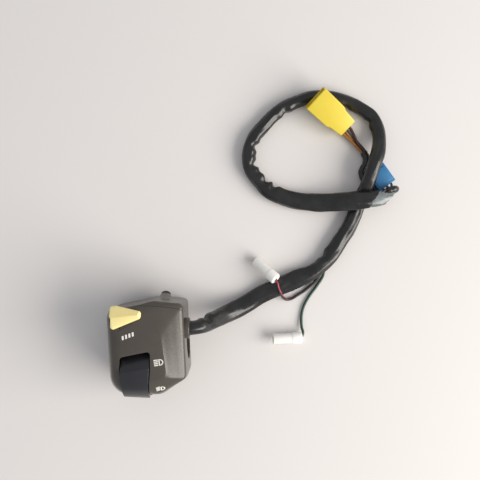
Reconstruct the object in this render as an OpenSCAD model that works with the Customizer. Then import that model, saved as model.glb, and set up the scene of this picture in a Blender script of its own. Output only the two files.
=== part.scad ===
// Left-hand handlebar switch cluster with its harness, lying on a flat surface.
// X runs along the handlebar, Z is up, and the origin is on the bar's axis.

/* [Housing] */
// Length of the case along the handlebar
case_len = 50.2; // [49.4:0.2:51]
// Depth of the case across the handlebar
case_depth = 58.8; // [58.4:0.2:60]
// Height of the case's top above the bar axis
case_top = 28; // [27.5:0.25:28.5]
// Depth of the case's flat underside below the bar axis
case_under = 17; // [16.5:0.25:17.5]
// Wall thickness of both halves
wall = 2.2; // [2:0.1:2.4]
// Lean of the split plane from vertical, in degrees
split_lean = 44; // [43:0.5:45]

/* [Handlebar] */
// Radius of the clamping bore, for a 22.2 mm bar
bar_r = 11.15; // [11.1:0.05:11.2]
// Wall of the tube that grips the bar
bar_wall = 2.3; // [2:0.1:2.5]

/* [Controls] */
// Width of the dimmer rocker
rocker_w = 17.2; // [16.8:0.2:17.6]
// Swing of the dimmer rocker between its two positions, in degrees
rocker_swing = 14; // [8:1:14]
// Swing of the flash trigger, in degrees
trigger_swing = 8; // [4:1:8]
// Travel of the turn slider to each side
turn_travel = 5; // [3:0.5:5]
// Radius of the horn button
horn_r = 4.2; // [4:0.1:4.3]

/* [Harness] */
// Diameter of the PVC sleeve
sleeve_d = 9.2; // [8.8:0.1:9.2]
// Diameter of a single lead
lead_d = 1.8; // [1.4:0.1:1.8]
// Length of the yellow connector
yellow_len = 29; // [28:0.5:30]
// Width of the yellow connector's front
yellow_w = 17; // [16:0.5:17]
// Length of the blue connector
blue_len = 14; // [13:0.5:14]
// Length of a bullet sleeve
bullet_len = 19; // [18:0.5:19]
// Radius of the socket in a bullet barrel
bullet_r = 2.05; // [1.95:0.05:2.1]

/* [Hidden] */

$fn = 48;
eps = 0.01;
far = 120;

// Colours as the photo shows them
case_grey = "#5c5650";
part_black = "#2b2b2d";
trigger_yellow = "#f9df80";
connector_yellow = "#f3df50";
connector_blue = "#3f7fb4";
nylon_white = "#f1efe8";
brass = "#c9a24a";
steel = "#9a9a9a";
phenolic = "#7a5436";

// Case outline in plan, at its widest level
case_left = -25.2;
case_right = case_left + case_len;
case_back = 27.6;
case_front = case_back - case_depth;
// Each row is a height, how far the left, right, back and front sides draw in there,
// and the radius of the corner at the back right, where the top falls away in a wide flank
case_levels = [
    [-case_under, 3, 2, 3, 3, 2.5],
    [-15.2, 0.9, 0.7, 0.9, 0.9, 2.5],
    [-12.5, 0.2, 0.2, 0.2, 0.2, 2.5],
    [4, 0, 0, 0, 0, 2.5],
    [12, 0.3, 0, 0, 0.4, 2.5],
    [16, 1.2, 0.1, 0, 1.3, 2.5],
    [19, 1.9, 0.2, 0.1, 2.1, 3],
    [22, 2.7, 0.6, 0.1, 3.1, 3.5],
    [23.5, 3.3, 2.8, 0.2, 4, 6],
    [25, 4.4, 5.8, 0.7, 5.3, 10],
    [26.3, 6, 8.4, 1.9, 6.8, 13],
    [27.3, 8.2, 10.4, 3.6, 8.8, 15],
    [case_top, 11, 11.6, 6.5, 11.2, 16]
];
// Where the back wall bends, in plan
ridge_x = 6;
// Arc points at each corner of a level
corner_steps = 4;

// The split plane holds the bar axis and leans back at the top
split_rot = [-split_lean, 0, 0];
// Distance of the case screws from the bar axis, along the split plane
screw_offset = 16;
screw_r = 2;
screw_boss_r = 4;
screw_head_r = 3.1;
upper_screw_x = 9.6;
upper_screw_head = 23;
upper_boss_start = 13;
upper_boss_r = [9, 3.5];
lower_screw_x = -18;
lower_screw_head = 3.2;
screw_depth = 11;

// Where the harness leaves the case
exit_y = 10;
exit_z = 14;
exit_hole_r = sleeve_d / 2 + 0.25;
collar_r = exit_hole_r + 1.5;
collar_x = [case_right - 2, case_right + 1.5];
sleeve_start_x = case_right - 4;
grommet_len = 4;
grommet_bore = 3.2;

// Dimmer rocker: its pivot
rocker_pos = [-4.9, -15.6, 14];
// Unit vector from the bar axis toward the pivot, as a turn about X
rocker_bearing = atan2(rocker_pos.z, rocker_pos.y);
// Slant of the upper pad and of the well, as a shift across for each millimetre along the axis
rocker_slant = 0.2;
rocker_pin_r = 1.5;
pin_gap = 0.05;
rocker_gap = 0.55;
rocker_hub_r = 3.4;
dimmer_base_t = 1.5;
// Across the axis and up from the pivot: the lower pad and the inside, with spare stock above
rocker_profile = [
    [13.5, 8.8], [13.5, 16], [6.2, 15.9], [-2.5, 15.2], [-8.5, 13], [-13, 8.6], [-15.6, 3.8],
    [-16.8, 0.8], [-13.4, -0.9], [-9.5, 3.6], [-3.4, 0], [0, -3.4], [3.4, 0]
];
// The upper pad's line, from the upper end to the ridge, and what is cut away above it and past that end
rocker_pad = [[11.3, 8.8], [3.2, 15.2]];
rocker_cutters = [
    [2 * rocker_pad[0] - rocker_pad[1], [40, 40], 2 * rocker_pad[1] - rocker_pad[0]],
    [[rocker_pad[0].x, -20], [40, -20], [40, 40], [rocker_pad[0].x, 40]]
];
// In plan, what it loses on each side as it narrows toward its grip end, and past that end
rocker_taper = [[rocker_w / 2, 3], [rocker_w / 2 - 1.3, -18], [rocker_w, -18], [rocker_w, 3]];
rocker_tip_cut = [[-rocker_w, -13.6], [rocker_w, -18.2], [rocker_w, -30], [-rocker_w, -30]];
// The well it swings in, drawn the same way, down to the lower pad's lowest angle
rocker_low_angle = 186 + rocker_swing;
rocker_well = [
    [0, 0], [11.9, 5], [11.9, 32], [-30, 32],
    32 * [cos(rocker_low_angle), sin(rocker_low_angle)]
];

// Flash trigger: its pivot on the case top, tilted with the corner it sits on
trigger_pos = [-4, 17.4, case_top + 0.3];
trigger_tilt = [-12, -10.5, 0];
trigger_pin_r = 1.5;
// Plan outline from the narrow end round, in the tilted frame
trigger_outline = [
    [2.9, 3.4], [2.2, 4.4], [-12.4, 7.3], [-15.9, 6.9], [-16.3, 0.8], [-15.1, -0.8], [-14.7, -6.3],
    [-13.3, -6.7], [2.2, -0.1], [2.9, 1]
];
trigger_crease = [[1.6, 1.9], [-14.6, -0.3]];
trigger_edge_h = 1.7;
trigger_crease_h = 2.9;
trigger_lift = 0;
trigger_gap = 0.4;
trigger_stem = [[-12.6, -1.8], [-8.8, 1.8]];

// Turn slider and horn on the front face
turn_x = -2;
turn_z = 2;
// Width, height and reach of the knob's cap
turn_cap = [9, 6.4, 2.3];
horn_z = -9.1;
horn_flange_r = 5;
// Clearance behind the front wall, whose inside is rounded at the ends
behind_wall = 1.4;
front_gap = 0.4;
board_y = -19.2;
board_t = 2.2;
contact_t = 0.5;
board_screw_x = [-11.5, 6.5];
board_screw_z = -6.5;

// Route points of the harness, from the case to the mouth
floor_z = -case_under;
lay_z = floor_z + sleeve_d / 2;
harness_route = [
    [sleeve_start_x, exit_y, exit_z], [27, exit_y, exit_z], [33.5, 10.5, 10.5], [40, 12.8, 2],
    [50, 16.5, -8], [62, 22.3, lay_z], [74.5, 29.5, lay_z], [94, 38, lay_z], [103, 41.8, lay_z],
    [110.5, 46.8, lay_z], [116.5, 53.8, lay_z], [122, 62.2, lay_z], [127, 70, lay_z],
    [131, 78, lay_z], [135, 89, lay_z], [138, 96.5, -8.8], [140.2, 104, -4.5], [142.6, 111.5, -4.2],
    [145.4, 119, -6], [147.2, 127, -9.4], [147.2, 135, lay_z], [143.7, 143, lay_z],
    [138.4, 147.7, lay_z], [124.6, 154.7, lay_z], [108, 157, lay_z], [93.5, 153.5, lay_z],
    [82.5, 147.8, lay_z], [73, 138.6, lay_z], [65.4, 129.4, lay_z], [62.6, 118.8, lay_z],
    [64, 109.4, lay_z], [70, 101.4, lay_z], [76, 95.6, lay_z], [84.5, 91.6, lay_z],
    [96, 88.8, -11.8], [110, 87.8, -8.6], [123, 88.2, -3.8], [133.5, 89, -2.4], [145, 90.2, -3.2],
    [153.2, 92, -5], [158.4, 93.4, -6.6]
];
yellow_wires_r = 2.1;
yellow_wires_route = [
    [145.5, 90.6, -5.2], [150.4, 91.4, -6], [152.8, 91.8, -9.9], [150.4, 92.2, -13.9],
    [146.4, 93.2, -14.7], [143.8, 95.6, -14.7], [141.6, 99, -14.7], [138.4, 103.4, -14.7],
    [137, 108.4, -14.7], [139.4, 113, -14.7], [139.9, 117, -14.6], [138.4, 121.4, -14.5],
    [134.2, 126.8, -14.2], [128.3, 133.2, -13.15], [125.36, 135.53, -12.04]
];
tape_from = 7;
tape_to = 11;
blue_tape_to = 3;
tape_t = 0.25;
blue_wires_r = 1.7;
blue_wires_route = [
    [152, 94.4, -5.6], [155.8, 95.8, -5.8], [157.6, 96.2, -9], [156.6, 95.6, -12.2],
    [154.8, 96.31, -13.3], [152.91, 98.94, -13.3]
];
black_lead_route = [
    [110, 45, -10.8], [107, 37.5, -14.5], [100.5, 31, -16], [94.5, 27, -16], [90.5, 24.7, -16],
    [87, 24.6, -15], [84.5, 26.8, -11.5], [82.9, 29.8, -6.3], [81.6, 32.8, -5.8], [81, 36, -5.6],
    [79, 39.25, -6.65]
];
green_lead_route = [
    [112, 43.6, -13.4], [111, 38.8, -15.6], [107.3, 33, -16], [102.3, 26.2, -16], [99, 20, -16],
    [97.5, 14, -16], [97.5, 7, -15], [98.5, 3, -14], [98.7, 0.5, -13.4], [96.4, -0.35, -13.1]
];
lead_sides = 8;
sleeve_sides = 12;

// Connectors: the corner or end each one is placed by, and how it is turned
yellow_corner = [122.4, 134.3, floor_z + 0.1];
yellow_turn = [-18, -16.5, 141.5];
yellow_rear_w = 12.5;
yellow_neck_w = 14.2;
// Where its plan widens over a soft shoulder, from the wire end
yellow_shoulder = [9, 11.5];
yellow_h = 8.5;
blue_rear = [152.9, 98.95, floor_z + 0.05];
blue_yaw = 125.7;
blue_w = 12.5;
blue_h = 7.3;
// Bullet sleeves: wire end and mouth end
bullet_a_wire = [80.2, 38.2, -6];
bullet_a_mouth = [67.8, 49.3, -13];
bullet_b_wire = [97.4, -0.3, -13.2];
bullet_b_mouth = [78.5, -0.9, -11.6];
bullet_out_r = 3.7;

// Rounded polygon: corners are [x, y, r], each drawn as an arc of steps + 1 points
function unit(v) = v / norm(v);
function corner_arc(a, b, c, steps) =
    let (
        u = unit([a.x - b.x, a.y - b.y]),
        v = unit([c.x - b.x, c.y - b.y]),
        half = acos(u * v) / 2,
        centre = [b.x, b.y] + unit(u + v) * b.z / sin(half),
        start = [b.x, b.y] + u * b.z / tan(half) - centre,
        turn = 180 - 2 * half
    )
    [for (i = [0:steps])
        let (t = turn * i / steps)
        centre + [start.x * cos(t) - start.y * sin(t), start.x * sin(t) + start.y * cos(t)]];
function rounded(corners, steps) =
    let (n = len(corners))
    [for (i = [0:n - 1])
        each corner_arc(corners[(i + n - 1) % n], corners[i], corners[(i + 1) % n], steps)];

// Plan corners of the case at one level, drawn in by the level's insets and an extra wall
function case_corners(level, inset) =
    let (
        left = level[1] + inset,
        right = level[2] + inset,
        back = level[3] + inset,
        front = level[4] + inset
    )
    [
        [case_right - 1.9 - 1.22 * right, case_back - 1.9 - back - 0.24 * right, level[5]],
        [ridge_x - 1.1 * right, case_back - back - 0.22 * right, 6],
        [case_left + left, case_back - 6.4 - back, 7],
        [case_left + 3.2 + left, case_front + front, 12],
        [case_right - 15.5 - 0.6 * right, case_front + front, 9],
        [case_right + 0.4 - right, case_front + 11.4 + 0.3 * front, 4]
    ];

// Closed skin over a stack of rings that all have the same count of points
module skin(rings) {
    n = len(rings[0]);
    last = len(rings) - 1;
    sides = [for (k = [0:last - 1], i = [0:n - 1])
        let (j = (i + 1) % n)
        each [
            [k * n + i, (k + 1) * n + i, (k + 1) * n + j],
            [k * n + i, (k + 1) * n + j, k * n + j]
        ]];
    first_cap = [[for (i = [0:n - 1]) i]];
    last_cap = [[for (i = [n - 1:-1:0]) last * n + i]];
    polyhedron([for (ring = rings) each ring], concat(first_cap, sides, last_cap));
}

// Sideways direction at each point of a route, carried along without twist
function carried(ahead, side, k = 0) =
    k == len(ahead) ? [] :
    let (level = unit(side - (side * ahead[k]) * ahead[k]))
    concat([level], carried(ahead, level, k + 1));

// Tube swept along route points, with one ring at each point
module tube(route, r, sides) {
    last = len(route) - 1;
    ahead = [for (k = [0:last]) unit(route[min(k + 1, last)] - route[max(k - 1, 0)])];
    side = carried(ahead, cross(ahead[0], [0, 0, 1]));
    skin([for (k = [0:last])
        let (up = cross(side[k], ahead[k]))
        [for (i = [0:sides - 1])
            let (a = 360 * (i + 0.5) / sides)
            route[k] + r * (cos(a) * side[k] + sin(a) * up)]]);
}

// Open coil spring along +Z
module coil(mean_r, wire_r, length, turns) {
    steps = 8;
    count = turns * steps;
    pitch = (length - 2 * wire_r) / turns;
    skin([for (k = [0:count])
        let (
            a = 360 * k / steps,
            out = [cos(a), sin(a), 0],
            along = unit([-sin(a), cos(a), pitch / (2 * PI * mean_r)]),
            up = cross(along, out)
        )
        [for (i = [0:5])
            let (b = 60 * i)
            mean_r * out + [0, 0, wire_r + pitch * k / steps] + wire_r * (cos(b) * out - sin(b) * up)]]);
}

// Places its children on a line: local +Z runs from one point toward another
module along(from, to) {
    d = to - from;
    translate(from) rotate([0, acos(d.z / norm(d)), atan2(d.y, d.x)]) children();
}

module along_bar(x, length) {
    translate([x, 0, 0]) rotate([0, 90, 0]) linear_extrude(length) children();
}

module case_outer() {
    skin([for (level = case_levels)
        [for (p = rounded(case_corners(level, 0), corner_steps)) [p.x, p.y, level[0]]]]);
}

module case_inner() {
    under_top = case_levels[len(case_levels) - 2];
    bottom = concat([wall - case_under], [for (i = [1:5]) case_levels[1][i]]);
    top = concat([case_top - wall], [for (i = [1:4]) under_top[i] + 0.4], [under_top[5] - 1]);
    between = [for (l = case_levels) if (l[0] > bottom[0] && l[0] < top[0] - 1) l];
    levels = concat([bottom], between, [top]);
    skin([for (level = levels)
        [for (p = rounded(case_corners(level, wall), corner_steps)) [p.x, p.y, level[0]]]]);
}

module split_side(switch_side) {
    rotate(split_rot) translate([-far, switch_side ? -2 * far : 0, -far]) cube(2 * far);
}

// A screw line: local +Z points out of the clamp half, square to the split plane
module screw_line(x, side) {
    rotate(split_rot) translate([x, 0, side * screw_offset]) rotate([-90, 0, 0]) children();
}

module upper_screw() { screw_line(upper_screw_x, 1) children(); }
module lower_screw() { screw_line(lower_screw_x, -1) children(); }

module screw_boss() { translate([0, 0, -screw_depth]) cylinder(r = screw_boss_r, h = screw_depth); }

module bar_hole() { along_bar(-far, 2 * far) circle(bar_r, $fn = 96); }

module bar_tube() {
    along_bar(case_left + 0.6, case_len - 1) circle(bar_r + bar_wall, $fn = 96);
}

module exit_hole() {
    translate([sleeve_start_x - grommet_len - 0.1, exit_y, exit_z]) rotate([0, 90, 0])
        cylinder(r = exit_hole_r, h = far);
}

// Raised rim round the harness
module exit_collar() {
    translate([collar_x[0], exit_y, exit_z]) rotate([0, 90, 0]) {
        cylinder(r = collar_r, h = collar_x[1] - collar_x[0] - 0.5);
        cylinder(r = collar_r - 0.5, h = collar_x[1] - collar_x[0]);
    }
}

module rocker_frame() { translate(rocker_pos) children(); }

// Pushes a profile drawn across and up along the rocker's axis, with its slant
module slanted(profile, width) {
    skin([for (x = [-width / 2, width / 2]) [for (p = profile) [x, p.x + rocker_slant * x, p.y]]]);
}

// Upright wedges on both sides of the rocker, set off by a gap
module rocker_tapers(gap) {
    for (s = [0, 1]) mirror([s, 0, 0]) translate([gap, 0, -far])
        linear_extrude(2 * far) polygon(rocker_taper);
}

module rocker_window() {
    rocker_frame() difference() {
        slanted(rocker_well, rocker_w + 2 * rocker_gap);
        rocker_tapers(rocker_gap);
    }
}

module rocker_lugs() {
    lug_t = 2.2;
    lug_mid = rocker_w / 2 + rocker_gap + lug_t / 2;
    rocker_frame() for (s = [-1, 1])
        translate([s * lug_mid - lug_t / 2, -4, -3.4]) cube([lug_t, 8, 19]);
}

module rocker_pin_hole() {
    rocker_frame() rotate([0, 90, 0]) cylinder(r = rocker_pin_r + 0.02, h = 24.6, center = true);
}

module trigger_frame() { translate(trigger_pos) rotate(trigger_tilt) children(); }

// Space that the trigger sweeps, as its plan outline turned through its swing
module trigger_sweep(from_z, to_z) {
    trigger_frame() translate([0, 0, from_z])
        for (i = [0:4]) rotate([0, 0, trigger_swing * i / 4]) linear_extrude(to_z - from_z) children();
}

module trigger_recess() {
    trigger_sweep(trigger_lift - trigger_gap, 12) offset(delta = trigger_gap) polygon(trigger_outline);
}

module trigger_slot() {
    trigger_sweep(-6, 4) translate(trigger_stem[0] - [0.6, 0.6])
        square(trigger_stem[1] - trigger_stem[0] + [1.2, 1.2]);
}

module trigger_boss() {
    trigger_frame() translate([0, 0, -3.4]) cylinder(r = 3, h = 2.4);
}

module trigger_pin_hole() {
    trigger_frame() translate([0, 0, -4]) cylinder(r = trigger_pin_r + 0.02, h = 2.8);
}

module turn_window() {
    w = turn_cap.x + 2 * turn_travel + 2 * front_gap;
    h = turn_cap.y + 2 * front_gap;
    translate([turn_x - w / 2, case_front - 10, turn_z - h / 2]) cube([w, 10 + wall + 4, h]);
}

module turn_rails() {
    for (z = [turn_z - 5.5, turn_z + 4.7])
        translate([turn_x - 15, case_front + 1, z]) cube([30, 5, 0.8]);
}

module horn_hole() {
    translate([turn_x, case_front - 10, horn_z]) rotate([-90, 0, 0])
        cylinder(r = horn_r + front_gap, h = 10 + wall + 4);
}

module board_posts() {
    for (x = board_screw_x)
        translate([x, board_y + board_t, board_screw_z]) rotate([-90, 0, 0]) cylinder(r = 2.6, h = 7);
}

module board_screw_holes() {
    for (x = board_screw_x)
        translate([x, board_y - 1, board_screw_z]) rotate([-90, 0, 0]) cylinder(r = 1.02, h = 8);
}

// The case half that carries the controls
module switch_half() {
    color(case_grey) difference() {
        intersection() {
            union() {
                difference() {
                    case_outer();
                    case_inner();
                }
                intersection() {
                    case_outer();
                    union() {
                        bar_tube();
                        lower_screw() screw_boss();
                        upper_screw() screw_boss();
                        rocker_lugs();
                        trigger_boss();
                        turn_rails();
                        board_posts();
                    }
                }
                exit_collar();
            }
            split_side(true);
        }
        bar_hole();
        exit_hole();
        rocker_window();
        rocker_pin_hole();
        trigger_recess();
        trigger_slot();
        trigger_pin_hole();
        turn_window();
        horn_hole();
        board_screw_holes();
        lower_screw() translate([0, 0, 0.5 - screw_depth]) cylinder(r = screw_r + 0.02, h = screw_depth);
        upper_screw() translate([0, 0, 0.5 - screw_depth]) cylinder(r = screw_r + 0.02, h = screw_depth);
    }
}

// The case half that closes round the bar, with the screw heads on its side
module clamp_half() {
    color(case_grey) difference() {
        union() {
            intersection() {
                union() {
                    difference() {
                        case_outer();
                        case_inner();
                    }
                    intersection() {
                        case_outer();
                        union() {
                            bar_tube();
                            lower_screw() cylinder(r = screw_boss_r + 1, h = far);
                            upper_screw() cylinder(r = screw_boss_r, h = far);
                        }
                    }
                    exit_collar();
                }
                split_side(false);
            }
            upper_screw() translate([0, 0, upper_boss_start]) cylinder(
                r1 = upper_boss_r[0], r2 = upper_boss_r[1], h = upper_screw_head - upper_boss_start
            );
        }
        bar_hole();
        exit_hole();
        trigger_recess();
        trigger_slot();
        upper_screw() translate([0, 0, -1]) cylinder(r = screw_r + 0.02, h = far);
        lower_screw() translate([0, 0, -1]) cylinder(r = screw_r + 0.02, h = far);
        upper_screw() translate([0, 0, upper_screw_head]) cylinder(r = screw_head_r + 0.3, h = far);
        lower_screw() translate([0, 0, lower_screw_head]) cylinder(r = screw_boss_r - 0.2, h = far);
    }
}

// Pan-head screw: its shank runs from below the split to the head's seat
module case_screw(seat) {
    difference() {
        union() {
            translate([0, 0, 1 - screw_depth]) cylinder(r = screw_r, h = seat + screw_depth - 1);
            translate([0, 0, seat]) cylinder(r = screw_head_r, h = 1.8);
            translate([0, 0, seat + 1.8]) cylinder(r1 = screw_head_r, r2 = 2.2, h = 0.8);
        }
        for (a = [0, 90]) rotate([0, 0, a]) translate([-1.7, -0.35, seat + 1.4]) cube([3.4, 0.7, 4]);
    }
}

module case_screws() {
    color(part_black) {
        upper_screw() case_screw(upper_screw_head);
        lower_screw() case_screw(lower_screw_head);
    }
}

module cable_grommet() {
    color(part_black) translate([sleeve_start_x - grommet_len, exit_y, exit_z]) rotate([0, 90, 0])
        difference() {
            cylinder(r = exit_hole_r - 0.05, h = grommet_len - 0.05);
            translate([0, 0, -1]) cylinder(r = grommet_bore, h = grommet_len + 2);
        }
}

// Two-position rocker with its ridge between the pads
module dimmer_rocker() {
    color(part_black) rocker_frame() difference() {
        union() {
            rotate([90, 0, 90]) translate([0, 0, -rocker_w / 2]) linear_extrude(rocker_w)
                polygon(rocker_profile);
            rotate([0, 90, 0]) cylinder(r = rocker_hub_r, h = rocker_w, center = true);
        }
        for (cutter = rocker_cutters) slanted(cutter, 2 * rocker_w);
        rotate([0, 90, 0]) cylinder(r = rocker_pin_r + pin_gap, h = 40, center = true);
        rocker_tapers(0);
        translate([0, 0, -far]) linear_extrude(2 * far) polygon(rocker_tip_cut);
    }
}

module dimmer_pin() {
    color(steel) rocker_frame() rotate([0, 90, 0])
        cylinder(r = rocker_pin_r, h = rocker_w + 2 * rocker_gap + 4.2, center = true);
}

module toward_rocker() { rotate([rocker_bearing, 0, 0]) children(); }

module dimmer_wiper() {
    color(brass) rocker_frame() rotate([rocker_bearing - 180, 0, 0])
        translate([-5, rocker_hub_r + 0.05, -1.6]) cube([10, 1, 3.2]);
}

module dimmer_base() {
    color(phenolic) toward_rocker() difference() {
        translate([rocker_pos.x - 6, bar_r + bar_wall + 0.05, -5]) cube([12, dimmer_base_t, 10]);
        translate([rocker_pos.x, 0, -3.4]) rotate([-90, 0, 0]) cylinder(r = 0.8, h = 40);
    }
}

module dimmer_contacts() {
    color(brass) toward_rocker() for (x = [-4.5, -1, 2.5])
        translate([rocker_pos.x + x, bar_r + bar_wall + dimmer_base_t + 0.05, -1.5]) cube([2, 0.7, 5]);
}

// Flash lever: a creased cap on a stem that goes through the case to a hub on the pin
module pass_trigger() {
    n = len(trigger_outline);
    base = [for (p = trigger_outline) [p.x, p.y, trigger_lift]];
    rim = [for (p = trigger_outline) [0.96 * p.x - 0.3, 0.96 * p.y, trigger_edge_h]];
    crease = [for (p = trigger_crease) [p.x, p.y, trigger_crease_h]];
    narrow = 2 * n;
    wide = 2 * n + 1;
    sides = [for (i = [0:n - 1])
        let (j = (i + 1) % n)
        each [[i, n + i, n + j], [i, n + j, j]]];
    top = concat(
        [for (i = [0:2]) [n + i, i < 2 ? narrow : wide, n + i + 1]],
        [[n + 2, narrow, wide]],
        [for (i = [3:6]) [n + i, wide, n + i + 1]],
        [[n + 7, wide, narrow]],
        [for (i = [7:9]) [n + i, narrow, n + (i + 1) % n]]
    );
    stem_size = trigger_stem[1] - trigger_stem[0];
    color(trigger_yellow) trigger_frame() difference() {
        union() {
            polyhedron(concat(base, rim, crease), concat([[for (i = [0:n - 1]) i]], sides, top));
            translate([trigger_stem[0].x, trigger_stem[0].y, -7.4]) cube([stem_size.x, stem_size.y, 7.4]);
            translate([trigger_stem[0].x, -1.6, -7.4]) cube([-trigger_stem[0].x, 3.2, 3.2]);
            translate([0, 0, -7.4]) cylinder(r = 2.8, h = 3.7);
        }
        translate([0, 0, -8]) cylinder(r = trigger_pin_r + pin_gap, h = 5);
    }
}

module pass_pin() {
    color(steel) trigger_frame() translate([0, 0, -11]) {
        cylinder(r = trigger_pin_r, h = 9.6);
        cylinder(r = 2.6, h = 0.8);
    }
}

module pass_spring() {
    color(steel) trigger_frame() translate([0, 0, -10.1]) coil(2.1, 0.25, 2.6, 3);
}

module pass_contacts() {
    color(brass) trigger_frame() for (y = [-9.2, -7.4])
        translate([-13, y, -8.6]) cube([9, 0.4, 3.6]);
}

// Slider that carries the turn knob along the front face
module turn_carriage() {
    w = 12.6;
    h = 9;
    front_y = case_front + wall + behind_wall;
    back_y = board_y - contact_t - 0.4;
    color(part_black) difference() {
        translate([turn_x - w / 2, front_y, turn_z - h / 2]) cube([w, back_y - front_y, h]);
        translate([turn_x - w / 2 - 1, front_y + 2, turn_z - 3]) cube([w + 2, back_y - front_y - 3.6, 6]);
        translate([turn_x - 2.5, front_y - 1, turn_z - 2.3]) cube([5, 5, 4.6]);
    }
}

module turn_knob() {
    stem_back = -25.4;
    cap_back = case_front + 0.2;
    color(part_black) {
        difference() {
            translate([turn_x - turn_cap.x / 2, cap_back - turn_cap.z, turn_z - turn_cap.y / 2])
                cube([turn_cap.x, turn_cap.z, turn_cap.y]);
            for (x = [-2.4, 0, 2.4])
                translate([turn_x + x - 0.4, cap_back - turn_cap.z - 0.4, turn_z - far])
                    cube([0.8, 1, 2 * far]);
        }
        translate([turn_x - 2.2, cap_back - eps, turn_z - 2]) cube([4.4, stem_back - cap_back, 4]);
    }
}

module turn_spring() {
    color(steel) translate([turn_x, -25.35, turn_z]) rotate([-90, 0, 0]) coil(1.6, 0.25, 3.5, 4);
}

module turn_contacts() {
    color(brass) for (x = [-8, -3, 2])
        translate([turn_x + x, board_y - contact_t, turn_z - 2]) cube([4, contact_t, 4]);
}

module horn_button() {
    flange_y = case_front + wall + behind_wall;
    color(part_black) translate([turn_x, 0, horn_z]) rotate([-90, 0, 0]) rotate_extrude(angle = 360)
        polygon([
            [0, case_front - 2.6], [horn_r - 1.4, case_front - 2.5], [horn_r - 0.3, case_front - 1.8],
            [horn_r, case_front - 0.8], [horn_r, flange_y], [horn_flange_r, flange_y],
            [horn_flange_r, flange_y + 1.2], [0, flange_y + 1.2]
        ]);
}

module horn_spring() {
    from_y = case_front + wall + behind_wall + 1.25;
    color(steel) translate([turn_x, from_y, horn_z]) rotate([-90, 0, 0])
        coil(3, 0.3, board_y - contact_t - from_y - 0.05, 4);
}

module horn_contacts() {
    color(brass) for (z = [-2.6, 1])
        translate([turn_x - 4, board_y - contact_t, horn_z + z]) cube([8, contact_t, 1.8]);
}

module contact_board() {
    color(phenolic) difference() {
        translate([-14, board_y, -14]) cube([23, board_t, 20]);
        board_screw_holes();
    }
}

module board_screws() {
    color(steel) for (x = board_screw_x)
        translate([x, board_y, board_screw_z]) rotate([-90, 0, 0]) {
            cylinder(r = 1, h = 6.5);
            translate([0, 0, -1.2]) cylinder(r = 1.9, h = 1.2);
        }
}

module harness_sleeve() { color(part_black) tube(harness_route, sleeve_d / 2, sleeve_sides); }
module yellow_wires() { color("#8a5a2c") tube(yellow_wires_route, yellow_wires_r, lead_sides); }
module blue_wires() { color("#3b3a42") tube(blue_wires_route, blue_wires_r, lead_sides); }
module black_lead() { color("#3a2a2a") tube(black_lead_route, lead_d / 2, lead_sides); }
module green_lead() { color("#1f4a35") tube(green_lead_route, lead_d / 2, lead_sides); }

// Tape on the yellow connector's wires, and on the blue one's from the mouth of the sleeve
module wire_tape() {
    yellow_part = [for (i = [tape_from:tape_to]) yellow_wires_route[i]];
    blue_part = [for (i = [0:blue_tape_to]) blue_wires_route[i]];
    color(part_black) {
        tube(yellow_part, yellow_wires_r + tape_t, sleeve_sides);
        tube(blue_part, blue_wires_r + tape_t, sleeve_sides);
    }
}

module yellow_frame() {
    translate(yellow_corner) rotate([0, 0, yellow_turn.z]) rotate([0, yellow_turn.y, 0])
        rotate([yellow_turn.x, 0, 0]) translate([0, -yellow_rear_w / 2, 0]) children();
}

// Cells open at the front face, two rows of three
module yellow_cells(size, depth, front) {
    for (y = [-5, 0, 5], z = [2.4, 6.1])
        translate([front - depth, y - size.x / 2, z - size.y / 2]) cube([depth, size.x, size.y]);
}

module yellow_connector() {
    half_plan = [
        [0, yellow_rear_w / 2], [yellow_shoulder[0], yellow_neck_w / 2],
        [yellow_shoulder[1], yellow_w / 2 - 0.3], [yellow_len, yellow_w / 2]
    ];
    far_half = [for (i = [len(half_plan) - 1:-1:0]) [half_plan[i].x, -half_plan[i].y]];
    color(connector_yellow) yellow_frame() difference() {
        linear_extrude(yellow_h) polygon(concat(half_plan, far_half));
        yellow_cells([3.2, 2.6], 15, yellow_len + 1);
    }
}

module yellow_terminals() {
    color(brass) yellow_frame() yellow_cells([2.2, 0.8], 9, yellow_len - 3);
}

module blue_frame() { translate(blue_rear) rotate([0, 0, blue_yaw]) children(); }

module blue_cells(size, depth, front) {
    for (y = [-3, 3], z = [2, 5.2])
        translate([front - depth, y - size.x / 2, z - size.y / 2]) cube([depth, size.x, size.y]);
}

module blue_connector() {
    color(connector_blue) blue_frame() difference() {
        union() {
            translate([0, -blue_w / 2, 0]) cube([blue_len, blue_w, blue_h - 0.5]);
            translate([2, -blue_w / 2 + 1, 0]) cube([blue_len - 4, blue_w - 2, blue_h]);
        }
        blue_cells([3.4, 2.4], 9, blue_len + 1);
    }
}

module blue_terminals() {
    color(brass) blue_frame() blue_cells([2.2, 0.8], 6, blue_len - 2);
}

// Soft sleeve over a bullet socket: a wide mouth, a shoulder and a wire hole
module bullet_sleeve(wire_end, mouth) {
    color(nylon_white) along(wire_end, mouth) rotate_extrude(angle = 360) polygon([
        [lead_d / 2 + 0.02, 0], [bullet_out_r - 0.5, 0], [bullet_out_r, 0.6], [bullet_out_r, 6],
        [bullet_out_r - 0.35, 7], [bullet_out_r - 0.35, bullet_len], [bullet_r + 0.65, bullet_len],
        [bullet_r + 0.65, 5], [lead_d / 2 + 0.02, 5]
    ]);
}

module bullet_barrel(wire_end, mouth) {
    color(brass) along(wire_end, mouth) difference() {
        translate([0, 0, 5.05]) cylinder(r = bullet_r + 0.6, h = bullet_len - 6);
        translate([0, 0, 7]) cylinder(r = bullet_r, h = bullet_len);
    }
}

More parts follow.
